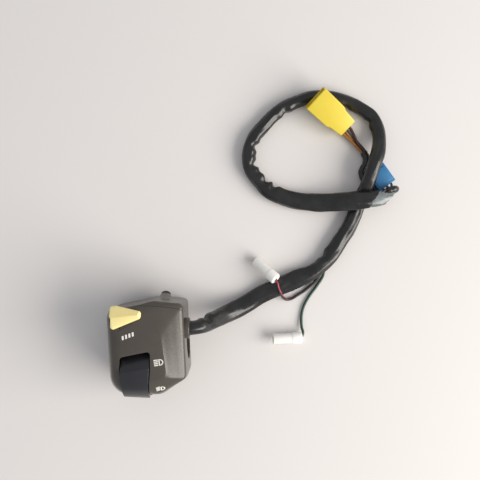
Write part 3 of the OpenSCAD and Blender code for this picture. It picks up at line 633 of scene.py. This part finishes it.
def cells(across, heights, size, depth, front):
    """Boxes that open the front face of a plug, one for each terminal."""
    boxes = []
    for y in across:
        for z in heights:
            low = (front - depth, y - size[0] / 2, z - size[1] / 2)
            boxes.append(box_between(low, (front + 1, y + size[0] / 2, z + size[1] / 2)))
    return boxes


def plug(name, bm, edge, openings, plug_frame, material, node):
    """A plug's shell from its solid: edges rounded, openings cut, and put in place."""
    round_edges(bm, edge)
    bm = cut(bm, *[("DIFFERENCE", opening) for opening in openings])
    bmesh.ops.transform(bm, matrix=plug_frame, verts=bm.verts)
    return piece(name, bm, material, "case", [node])


def yellow_plug():
    """Two-row plug: a wide rimmed front, a soft shoulder, and a narrower end with a hole for each wire."""
    side = [(0, YELLOW_REAR_W / 2), (YELLOW_SHOULDER[0], YELLOW_NECK_W / 2),
            (YELLOW_SHOULDER[1], YELLOW_W / 2 - 0.3), (YELLOW_LEN, YELLOW_W / 2)]
    solid = prism([(x, -y) for x, y in side] + side[::-1], YELLOW_H, Matrix.Identity(4))
    front = box_between((YELLOW_LEN - 1.6, 0.9 - YELLOW_W / 2, 0.9),
                        (YELLOW_LEN + 1, YELLOW_W / 2 - 0.9, YELLOW_H - 0.9))
    openings = [front] + cells((-5, 0, 5), (2.4, 6.1), (3.2, 2.6), 14, YELLOW_LEN)
    openings += [rod(1.0, (-1, w[4], 4), (6, w[4], 4), 20) for w in YELLOW_WIRES]
    return plug("yellow_plug_shell", solid, 0.55, openings, YELLOW_FRAME, yellow_nylon, "yellow_connector")


def blue_plug():
    """A smaller plug with a raised top, of the same make."""
    half = BLUE_W / 2
    top = box_between((2, 1 - half, 1), (BLUE_LEN - 2, half - 1, BLUE_H))
    solid = cut(box_between((0, -half, 0), (BLUE_LEN, half, BLUE_H - 0.5)), ("UNION", top))
    bmesh.ops.dissolve_limit(solid, angle_limit=radians(1), verts=solid.verts, edges=solid.edges)
    openings = cells((-3, 3), (2, 5.2), (3.4, 2.4), 8, BLUE_LEN)
    openings += [rod(0.9, (-1, w[4], 3.7), (5, w[4], 3.7), 20) for w in BLUE_WIRES]
    return plug("blue_plug_shell", solid, 0.4, openings, BLUE_FRAME, blue_nylon, "blue_connector")


BULLETS = {
    "bullet_a": (Vector((80.2, 38.2, -6)), Vector((67.8, 49.3, -13))),
    "bullet_b": (Vector((97.4, -0.3, -13.2)), Vector((78.5, -0.9, -11.6))),
}
# Radius and length along the sleeve: wire hole, rounded wire end, shoulder, thin wall and open mouth
BULLET_PROFILE = [
    (0.95, 0.0), (2.9, 0.0), (3.35, 0.15), (3.62, 0.5), (3.7, 1.0), (3.7, 5.9), (3.62, 6.4), (3.42, 6.9),
    (3.35, 7.4), (3.35, 18.5), (3.25, 18.85), (3.05, 19.0), (2.85, 18.9), (2.7, 18.5), (2.7, 5.0),
    (0.95, 5.0),
]


def bullet_sleeve(name):
    wire_end, mouth = BULLETS[name]
    bm = lathe(BULLET_PROFILE, wire_end, mouth)
    return piece(name + "_nylon", bm, white_nylon, "case", [name.replace("bullet", "bullet_sleeve")])


ends = {
    "yellow": ("connector", [yellow_plug(), nodes["yellow_terminals"]]),
    "blue": ("connector", [blue_plug(), nodes["blue_terminals"]]),
    "bullet_a": ("connector", [bullet_sleeve("bullet_a"), nodes["bullet_barrel_a"]]),
    "bullet_b": ("connector", [bullet_sleeve("bullet_b"), nodes["bullet_barrel_b"]]),
}


# Case

CASE_LEFT, CASE_RIGHT, CASE_BACK, CASE_FRONT = -25.2, 25.0, 27.6, -31.2
WALL = 2.2
# A height, how far the left, right, back and front sides draw in there, and the back right corner's radius
CASE_LEVELS = [
    (-17, 3, 2, 3, 3, 2.5), (-15.2, 0.9, 0.7, 0.9, 0.9, 2.5), (-12.5, 0.2, 0.2, 0.2, 0.2, 2.5),
    (4, 0, 0, 0, 0, 2.5), (12, 0.3, 0, 0, 0.4, 2.5), (16, 1.2, 0.1, 0, 1.3, 2.5), (19, 1.9, 0.2, 0.1, 2.1, 3),
    (22, 2.7, 0.6, 0.1, 3.1, 3.5),
    (23.5, 3.3, 2.8, 0.2, 4, 6), (25, 4.4, 5.8, 0.7, 5.3, 10), (26.3, 6, 8.4, 1.9, 6.8, 13),
    (27.3, 8.2, 10.4, 3.6, 8.8, 15), (28, 11, 11.6, 6.5, 11.2, 16),
]
# Where the back wall bends, in plan
RIDGE_X = 6.0
SPLIT_LEAN = 44
SPLIT_NORMAL = Vector((0, cos(radians(SPLIT_LEAN)), -sin(radians(SPLIT_LEAN))))
SPLIT_UP = Vector((0, sin(radians(SPLIT_LEAN)), cos(radians(SPLIT_LEAN))))
PARTING_GAP = 0.22
BAR_R, BAR_WALL = 11.15, 2.3
CONTROL_GAP = 0.55
# Rim round the harness where it leaves the case
COLLAR_R = SLEEVE_D / 2 + 1.75


def rounded(corners, steps):
    """A closed anticlockwise outline whose corners, given as x, y and radius, are arcs."""
    outline = []
    for a, b, c in zip(corners[-1:] + corners[:-1], corners, corners[1:] + corners[:1]):
        at = Vector(b[:2])
        u = (Vector(a[:2]) - at).normalized()
        v = (Vector(c[:2]) - at).normalized()
        half = u.angle(v) / 2
        turn = (pi - 2 * half) * (1 if v.cross(u) > 0 else -1)
        centre = at + (u + v).normalized() * b[2] / sin(half)
        start = at + u * b[2] / tan(half) - centre
        for i in range(steps + 1):
            outline.append(centre + Matrix.Rotation(turn * i / steps, 2) @ start)
    return outline


RING_SIDES = 216
RING_CENTRE = Vector((-1.0, -2.0))


def at_even_bearings(outline):
    """An outline cut again at even bearings from the case's middle, so that rings line up level by level."""
    points = sorted((p - RING_CENTRE for p in outline), key=lambda p: atan2(p.y, p.x))
    result = []
    k = 0
    for i in range(RING_SIDES):
        bearing = 2 * pi * (i + 0.5) / RING_SIDES - pi
        while k < len(points) and atan2(points[k].y, points[k].x) < bearing:
            k += 1
        a, b = points[k - 1], points[k % len(points)]
        way = Vector((cos(bearing), sin(bearing)))
        result.append(RING_CENTRE + a.lerp(b, a.cross(way) / (a - b).cross(way)))
    return result


def case_ring(level, inset=0.0):
    left, right, back, front = (side + inset for side in level[1:5])
    corners = [
        (CASE_RIGHT - 1.9 - 1.22 * right, CASE_BACK - 1.9 - back - 0.24 * right, level[5]),
        (RIDGE_X - 1.1 * right, CASE_BACK - back - 0.22 * right, 6),
        (CASE_LEFT + left, CASE_BACK - 6.4 - back, 7),
        (CASE_LEFT + 3.2 + left, CASE_FRONT + front, 12),
        (CASE_RIGHT - 15.5 - 0.6 * right, CASE_FRONT + front, 9),
        (CASE_RIGHT + 0.4 - right, CASE_FRONT + 11.4 + 0.3 * front, 4),
    ]
    return [p.to_3d() + Vector((0, 0, level[0])) for p in at_even_bearings(rounded(corners, 9))]


case_solid = loft([case_ring(level) for level in smooth_path(CASE_LEVELS, 1.3)])


def case_outer():
    return case_solid.copy()


def case_inner():
    low, high = WALL - 17, 28 - WALL
    levels = [(low,) + CASE_LEVELS[1][1:]]
    levels += [level for level in CASE_LEVELS if low < level[0] < high - 1]
    levels.append((high,) + tuple(side + 0.4 for side in CASE_LEVELS[-2][1:5]) + (14,))
    return loft([case_ring(level, WALL) for level in levels])


def half_space(sign):
    """A big block on one side of the split plane, set back by half the parting gap."""
    bm = box_between((-80, PARTING_GAP / 2, -80), (80, 160, 80))
    spin = Matrix.Rotation(radians(-SPLIT_LEAN), 4, "X")
    if sign < 0:
        spin = spin @ Matrix.Rotation(pi, 4, "X")
    bmesh.ops.transform(bm, matrix=spin, verts=bm.verts)
    return bm


def screw_point(x, side, out):
    """A point on a case screw's line, at a distance out of the split plane."""
    return Vector((x, 0, 0)) + side * 16 * SPLIT_UP + out * SPLIT_NORMAL


UPPER_SCREW_X, UPPER_SEAT = 9.6, 23.0
LOWER_SCREW_X, LOWER_SEAT = -18.0, 3.2

# Dimmer rocker: X along its axis, Y across, Z up from its pivot
ROCKER_W = 17.2
ROCKER_FRAME = Matrix.Translation((-4.9, -15.6, 14))
# Slant of the upper pad and of the well, as a shift across for each millimetre along the axis
ROCKER_SLANT = 0.2
ROCKER_LOWER_PAD = [(6.2, 15.9), (-2.5, 15.2), (-8.5, 13), (-13, 8.6), (-15.6, 3.8), (-16.8, 0.8)]
ROCKER_INSIDE = [(-13.4, -0.9), (-9.5, 3.6), (-3.4, 0), (0, -3.4), (3.4, 0), (13.5, 8.8), (13.5, 16)]
# The upper pad runs from the upper end to the ridge
ROCKER_PAD = (Vector((11.3, 8.8)), Vector((3.2, 15.2)))
ROCKER_WELL = [(0, 0), (11.9, 5), (11.9, 32), (-30, 32), (32 * cos(radians(200)), 32 * sin(radians(200)))]
# In plan, the line along which each side draws in toward the grip end, and the slanted line of that end
ROCKER_TAPER = (Vector((ROCKER_W / 2, 3)), Vector((ROCKER_W / 2 - 1.3, -18)))
ROCKER_TIP = (Vector((-ROCKER_W, -13.6)), Vector((ROCKER_W, -18.2)))

# Flash trigger: its frame on the case top and its plan outline
TRIGGER_FRAME = turned((-4, 17.4, 28.3), 0, -10.5, -12)
TRIGGER_OUTLINE = [
    (2.9, 3.4), (2.2, 4.4), (-12.4, 7.3), (-15.9, 6.9), (-16.3, 0.8), (-15.1, -0.8), (-14.7, -6.3),
    (-13.3, -6.7), (2.2, -0.1), (2.9, 1),
]
TRIGGER_SWING = 8
TRIGGER_BASE, TRIGGER_EDGE, TRIGGER_RIDGE = 0.0, 1.7, 2.9
TRIGGER_GAP = 0.4
TRIGGER_CREASE = (Vector((1.6, 1.9, 0)), Vector((-14.6, -0.3, 0)))
# How far the cap has drawn in toward its crease, and how high it stands there
TRIGGER_RISE = [
    (0, 0), (0, TRIGGER_EDGE - 0.6), (0.03, TRIGGER_EDGE - 0.25), (0.08, TRIGGER_EDGE),
    (0.15, TRIGGER_EDGE + 0.16),
    (0.5, TRIGGER_EDGE + 0.62), (0.8, TRIGGER_EDGE + 1.0), (0.95, TRIGGER_RIDGE - 0.04),
    (0.99, TRIGGER_RIDGE),
]
TRIGGER_STEM = ((-12.6, -1.8), (-8.8, 1.8))

TURN_X, TURN_Z, TURN_CAP = -2.0, 2.0, (9.0, 6.4, 2.3)
TURN_TRAVEL = 5.0
HORN_Z, HORN_R = -9.1, 4.2
FRONT_GAP = 0.4
BEHIND_WALL = 1.4


def along_rocker(profile, width, slant=0.0):
    """Pushes a profile drawn across and up along the rocker's axis."""
    stand = Matrix(((0, 0, 1, -width / 2), (1, 0, slant, -slant * width / 2), (0, 1, 0, 0), (0, 0, 0, 1)))
    return prism(profile, width, stand)


def trimmed(bm, place, outward):
    """Cuts a solid off at a plane, drops what lies outward of it and closes the cut."""
    geom = bm.verts[:] + bm.edges[:] + bm.faces[:]
    bmesh.ops.bisect_plane(bm, geom=geom, plane_co=place, plane_no=outward, clear_outer=True)
    bmesh.ops.holes_fill(bm, edges=bm.edges)
    bmesh.ops.recalc_face_normals(bm, faces=bm.faces)


def narrowed(bm, gap):
    """Draws both sides of the rocker in along their tapers, or those of its well, a gap further out."""
    start, end = ROCKER_TAPER
    line = (end - start).normalized()
    for side in (1, -1):
        trimmed(bm, Vector((side * (start.x + gap), start.y, 0)), Vector((-side * line.y, line.x, 0)))


def rocker_window():
    """The well the rocker swings in, with rounded corners at its upper end."""
    bm = along_rocker(ROCKER_WELL, ROCKER_W + 2 * CONTROL_GAP, ROCKER_SLANT)
    narrowed(bm, CONTROL_GAP)
    upright = [e for e in bm.edges if abs((e.verts[0].co - e.verts[1].co).normalized().z) > 0.99
               and e.verts[0].co.y > 5]
    bmesh.ops.bevel(bm, geom=upright, offset=2.4, offset_type="OFFSET", segments=6, profile=0.5,
                    affect="EDGES", material=-1, clamp_overlap=True)
    bmesh.ops.transform(bm, matrix=ROCKER_FRAME, verts=bm.verts)
    return bm


def grown(outline, width):
    """An outline moved out by a width all round, for one drawn anticlockwise."""
    result = []
    for a, b, c in zip(outline[-1:] + outline[:-1], outline, outline[1:] + outline[:1]):
        a, b, c = Vector(a), Vector(b), Vector(c)
        first = Vector(((b - a).y, -(b - a).x)).normalized()
        second = Vector(((c - b).y, -(c - b).x)).normalized()
        miter = (first + second).normalized()
        result.append(b + miter * min(2 * width, width / max(0.3, miter.dot(first))))
    return result


def trigger_clearance():
    """What the case gives up so that the trigger can swing: its cap's bed and its stem's slot."""
    solids = []
    (x0, y0), (x1, y1) = TRIGGER_STEM
    slot = [(x0 - 0.6, y0 - 0.6), (x1 + 0.6, y0 - 0.6), (x1 + 0.6, y1 + 0.6), (x0 - 0.6, y1 + 0.6)]
    for turn in (0, TRIGGER_SWING / 2, TRIGGER_SWING):
        place = TRIGGER_FRAME @ Matrix.Rotation(radians(turn), 4, "Z")
        bed = place @ Matrix.Translation((0, 0, TRIGGER_BASE - TRIGGER_GAP))
        solids.append(prism(grown(TRIGGER_OUTLINE, TRIGGER_GAP), 12, bed))
        solids.append(prism(slot, 10, place @ Matrix.Translation((0, 0, -6))))
    return [("DIFFERENCE", solid) for solid in solids]


def common_cuts():
    return [
        ("DIFFERENCE", rod(BAR_R, (-60, 0, 0), (60, 0, 0), 96)),
        ("DIFFERENCE", rod(SLEEVE_D / 2 + 0.25, (16.9, 10, 14), (60, 10, 14), 40)),
    ]


def case_shell():
    tube = rod(BAR_R + BAR_WALL, (CASE_LEFT + 0.6, 0, 0), (CASE_RIGHT - 0.4, 0, 0), 96)
    tube = cut(tube, ("INTERSECT", case_outer()))
    collar = rod(COLLAR_R, (CASE_RIGHT - 2, 10, 14), (CASE_RIGHT + 1.5, 10, 14), 48)
    round_edges(collar, 0.6)
    return cut(case_outer(), ("DIFFERENCE", case_inner()), ("UNION", tube), ("UNION", collar))


def switch_half():
    """The half with the controls: its shell, the rocker's well, the turn window and the horn hole."""
    wide = TURN_CAP[0] / 2 + TURN_TRAVEL + FRONT_GAP
    tall = TURN_CAP[1] / 2 + FRONT_GAP
    turn_window = box_between((TURN_X - wide, CASE_FRONT - 10, TURN_Z - tall),
                              (TURN_X + wide, CASE_FRONT + WALL + 4, TURN_Z + tall))
    horn_hole = rod(HORN_R + FRONT_GAP, (TURN_X, CASE_FRONT - 10, HORN_Z),
                    (TURN_X, CASE_FRONT + WALL + 4, HORN_Z), 48)
    bm = cut(case_shell(), ("INTERSECT", half_space(-1)), *common_cuts(), ("DIFFERENCE", rocker_window()),
             ("DIFFERENCE", turn_window), ("DIFFERENCE", horn_hole), *trigger_clearance())
    return piece("switch_half_shell", bm, case_abs, "case", ["switch_half"])


def clamp_half():
    """The half that closes round the bar, with the raised boss of the upper screw."""
    boss = rod(9, screw_point(UPPER_SCREW_X, 1, 13), screw_point(UPPER_SCREW_X, 1, UPPER_SEAT), 48, 3.5)
    upper_hole = rod(2.02, screw_point(UPPER_SCREW_X, 1, -1), screw_point(UPPER_SCREW_X, 1, 60), 24)
    lower_hole = rod(2.02, screw_point(LOWER_SCREW_X, -1, -1), screw_point(LOWER_SCREW_X, -1, 60), 24)
    upper_bed = rod(3.4, screw_point(UPPER_SCREW_X, 1, UPPER_SEAT), screw_point(UPPER_SCREW_X, 1, 60), 32)
    lower_bed = rod(3.8, screw_point(LOWER_SCREW_X, -1, LOWER_SEAT), screw_point(LOWER_SCREW_X, -1, 60), 32)
    seat = rod(5, screw_point(LOWER_SCREW_X, -1, 0.2), screw_point(LOWER_SCREW_X, -1, 12), 32)
    seat = cut(seat, ("INTERSECT", case_outer()))
    bm = cut(case_shell(), ("INTERSECT", half_space(1)), ("UNION", boss), ("UNION", seat), *common_cuts(),
             ("DIFFERENCE", upper_hole), ("DIFFERENCE", lower_hole), ("DIFFERENCE", upper_bed),
             ("DIFFERENCE", lower_bed), *trigger_clearance())
    return piece("clamp_half_shell", bm, case_abs, "case", ["clamp_half"])


switch_half()
clamp_half()


# Controls

def dimmer_rocker():
    """A curved lower pad and a flat upper one that meet in a slanted ridge, on a hub bored for its pin."""
    pad = [(p.x, p.y) for p in smooth_path([Vector(p) for p in ROCKER_LOWER_PAD], 1.6)]
    bm = along_rocker(pad + ROCKER_INSIDE, ROCKER_W)
    start, ridge = ROCKER_PAD
    line = (ridge - start).normalized()
    trimmed(bm, Vector((0, start.x, start.y)), Vector((-ROCKER_SLANT * line.y, line.y, -line.x)))
    trimmed(bm, Vector((0, start.x, 0)), Vector((-ROCKER_SLANT, 1, 0)))
    narrowed(bm, 0)
    tip = (ROCKER_TIP[1] - ROCKER_TIP[0]).normalized()
    trimmed(bm, ROCKER_TIP[0].to_3d(), Vector((tip.y, -tip.x, 0)))
    round_edges(bm, 0.5, angle=32)
    hub = rod(3.4, (-ROCKER_W / 2, 0, 0), (ROCKER_W / 2, 0, 0), 48)
    bore = rod(1.55, (-20, 0, 0), (20, 0, 0), 32)
    bm = cut(bm, ("UNION", hub), ("DIFFERENCE", bore))
    bmesh.ops.transform(bm, matrix=ROCKER_FRAME, verts=bm.verts)
    return piece("dimmer_rocker_cap", bm, control_acetal, "dimmer", ["dimmer_rocker"])


def flash_trigger():
    """A cap that rises from its rounded rim to a soft crease, and under it the stem, the arm and the hub."""
    corners = [(x, y, 0.45 if x > -10 else 0.9) for x, y in TRIGGER_OUTLINE]
    rim = [p.to_3d() for p in rounded(corners, 5)]
    start, end = TRIGGER_CREASE
    along = (end - start).normalized()
    feet = []
    for p in rim:
        reach = max(0.0, min((end - start).length, (p - start).dot(along)))
        feet.append(start + reach * along)
    rings = []
    for share, height in TRIGGER_RISE:
        rings.append([p.lerp(foot, share) + Vector((0, 0, height)) for p, foot in zip(rim, feet)])
    cap = loft(rings)
    (x0, y0), (x1, y1) = TRIGGER_STEM
    stem = box_between((x0, y0, -7.4), (x1, y1, 0))
    arm = box_between((x0, -1.6, -7.4), (0, 1.6, -4.2))
    hub = rod(2.8, (0, 0, -7.4), (0, 0, -3.7), 40)
    bore = rod(1.55, (0, 0, -8), (0, 0, -3), 32)
    bm = cut(cap, ("UNION", stem), ("UNION", arm), ("UNION", hub), ("DIFFERENCE", bore))
    bmesh.ops.transform(bm, matrix=TRIGGER_FRAME, verts=bm.verts)
    return piece("flash_trigger_cap", bm, trigger_abs, "trigger", ["pass_trigger"])


def turn_knob():
    """A ribbed thumb knob on its stem."""
    back = CASE_FRONT + 0.2
    cap = box_between((TURN_X - TURN_CAP[0] / 2, back - TURN_CAP[2], TURN_Z - TURN_CAP[1] / 2),
                      (TURN_X + TURN_CAP[0] / 2, back, TURN_Z + TURN_CAP[1] / 2))
    round_edges(cap, 0.7)
    grooves = []
    for x in (-2.4, 0, 2.4):
        foot = Vector((TURN_X + x, back - TURN_CAP[2] - 0.15, TURN_Z - 20))
        grooves.append(("DIFFERENCE", rod(0.55, foot, foot + Vector((0, 0, 40)), 20)))
    stem = box_between((TURN_X - 2.2, back - 1, TURN_Z - 2), (TURN_X + 2.2, -25.4, TURN_Z + 2))
    bm = cut(cap, *grooves, ("UNION", stem))
    return piece("turn_knob_cap", bm, control_acetal, "turn_button", ["turn_knob"])


def horn_button():
    """A round push button with a dished face and a flange that keeps it in."""
    face, flange = CASE_FRONT - 2.6, CASE_FRONT + WALL + BEHIND_WALL
    profile = [
        (0.02, 0.35), (1.6, 0.25), (2.5, 0.05), (HORN_R - 1.2, 0), (HORN_R - 0.6, 0.2), (HORN_R - 0.2, 0.6),
        (HORN_R, 1.3), (HORN_R, flange - face), (5, flange - face), (5, flange - face + 1.2),
        (0.02, flange - face + 1.2),
    ]
    bm = lathe(profile, Vector((TURN_X, face, HORN_Z)), Vector((TURN_X, flange, HORN_Z)), 56)
    return piece("horn_button_cap", bm, control_acetal, "horn", ["horn_button"])


dimmer_rocker()
flash_trigger()
turn_knob()
horn_button()


# Printed signs

def on_case(outline, place):
    """A flat outline laid on the case's skin as a thin film of print."""
    bm = prism(outline, 0.08, place)
    bmesh.ops.triangulate(bm, faces=bm.faces)
    for _ in range(2):
        long = [e for e in bm.edges if e.calc_length() > 0.5]
        bmesh.ops.subdivide_edges(bm, edges=long, cuts=1)
        bmesh.ops.triangulate(bm, faces=bm.faces)
    for vert in bm.verts:
        hit = case_skin.ray_cast(Vector((vert.co.x, vert.co.y, 60)), Vector((0, 0, -1)))[0]
        vert.co.z += hit.z - 0.03
    return bm


def bar(x, y, length, height, slant=0.0, lean=0.0):
    """A printed bar that may slope along its length and lean along its height."""
    return [(x, y), (x + length, y + slant), (x + length + lean, y + slant + height), (x + lean, y + height)]


def lamp_back():
    """The round back of a headlamp sign: a half ring."""
    steps = 18
    outer = [(1.15 * sin(pi * i / steps), cos(pi * i / steps)) for i in range(steps + 1)]
    return outer + [(0.7 * x, 0.7 * y) for x, y in reversed(outer)]


def printed_sign(name, shapes, centre, turn, size):
    """Shapes of one sign printed on the case's skin."""
    place = Matrix.Translation((centre[0], centre[1], 0)) @ Matrix.Rotation(radians(turn), 4, "Z")
    place = place @ Matrix.Diagonal((size[0], size[1], 1, 1))
    prints = [on_case(shape, place) for shape in shapes]
    return piece(name, join(*prints), pad_print, "case")


def beam_rays(slant):
    return [bar(-1.8, y, 1.3, 0.34, slant) for y in (-0.98, -0.44, 0.1, 0.64)]


case_skin = BVHTree.FromBMesh(case_solid)
LAMP = [lamp_back(), bar(-0.3, -1.0, 0.34, 2.0)]
printed_sign("main_beam_sign", LAMP + beam_rays(0.0), (9.9, -8.2), 8, (1.9, 1.9))
printed_sign("dipped_beam_sign", LAMP + beam_rays(0.35), (10.7, -24.4), 8, (1.75, 1.25))
# Four flash marks beside the trigger
flash_bars = [bar(x, -1.0, 1.0, 2.0, lean=0.5) for x in (-3.6, -1.8, 0.0, 1.8)]
printed_sign("flash_sign", flash_bars, (-8.6, 7.2), 20, (1.15, 1.15))


# Finishes of the solids that show as they are

node_finishes = {
    black_zinc: ["case_screws"],
    grommet_rubber: ["cable_grommet"],
    control_acetal: ["turn_carriage"],
    spring_steel: ["dimmer_pin", "pass_pin", "pass_spring", "turn_spring", "horn_spring", "board_screws"],
    contact_brass: ["dimmer_wiper", "dimmer_contacts", "pass_contacts", "turn_contacts", "horn_contacts",
                    "yellow_terminals", "blue_terminals", "bullet_barrel_a", "bullet_barrel_b"],
    board_phenolic: ["dimmer_base", "contact_board"],
}
for finish, names in node_finishes.items():
    for name in names:
        for slot in nodes[name].material_slots:
            slot.material = finish


# Floor and light

def make_floor():
    material, tree = new_material("matt_floor")
    finish_material(tree, Base_Color=linear("#dedad8"), Roughness=0.7)
    bm = bmesh.new()
    bmesh.ops.create_grid(bm, x_segments=1, y_segments=1, size=3000)
    bmesh.ops.translate(bm, vec=(0, 0, FLOOR_Z), verts=bm.verts)
    bmesh.ops.scale(bm, vec=(MM, MM, MM), verts=bm.verts)
    mesh = bpy.data.meshes.new("floor")
    bm.to_mesh(mesh)
    bm.free()
    floor = bpy.data.objects.new("floor", mesh)
    floor.data.materials.append(material)
    bpy.context.scene.collection.objects.link(floor)


def area_lamp(name, place, aim, size, watts, colour):
    data = bpy.data.lights.new(name, "AREA")
    data.shape = "RECTANGLE"
    data.size, data.size_y = size
    data.energy = watts
    data.color = linear(colour)[:3]
    lamp = bpy.data.objects.new(name, data)
    lamp.location = place
    lamp.rotation_euler = (Vector(aim) - Vector(place)).to_track_quat("-Z", "Y").to_euler()
    bpy.context.scene.collection.objects.link(lamp)


def make_light():
    """Even fill from all round, and a wide low window off to the right."""
    world = bpy.data.worlds.new("studio")
    world.use_nodes = True
    tree = world.node_tree
    tree.nodes.clear()
    sky = add(tree, "ShaderNodeBackground", {"Color": linear("#eceef2"), "Strength": 0.62})
    add(tree, "ShaderNodeOutputWorld", {"Surface": sky.outputs[0]})
    bpy.context.scene.world = world
    middle = Vector((VIEW_CENTRE.x, VIEW_CENTRE.y, 0)) * MM
    area_lamp("window_light", middle + Vector((1.1, -0.4, 0.68)), middle, (1.25, 0.9), 26.0, "#fffaf2")


make_floor()
make_light()
bpy.context.scene.view_settings.view_transform = "Standard"
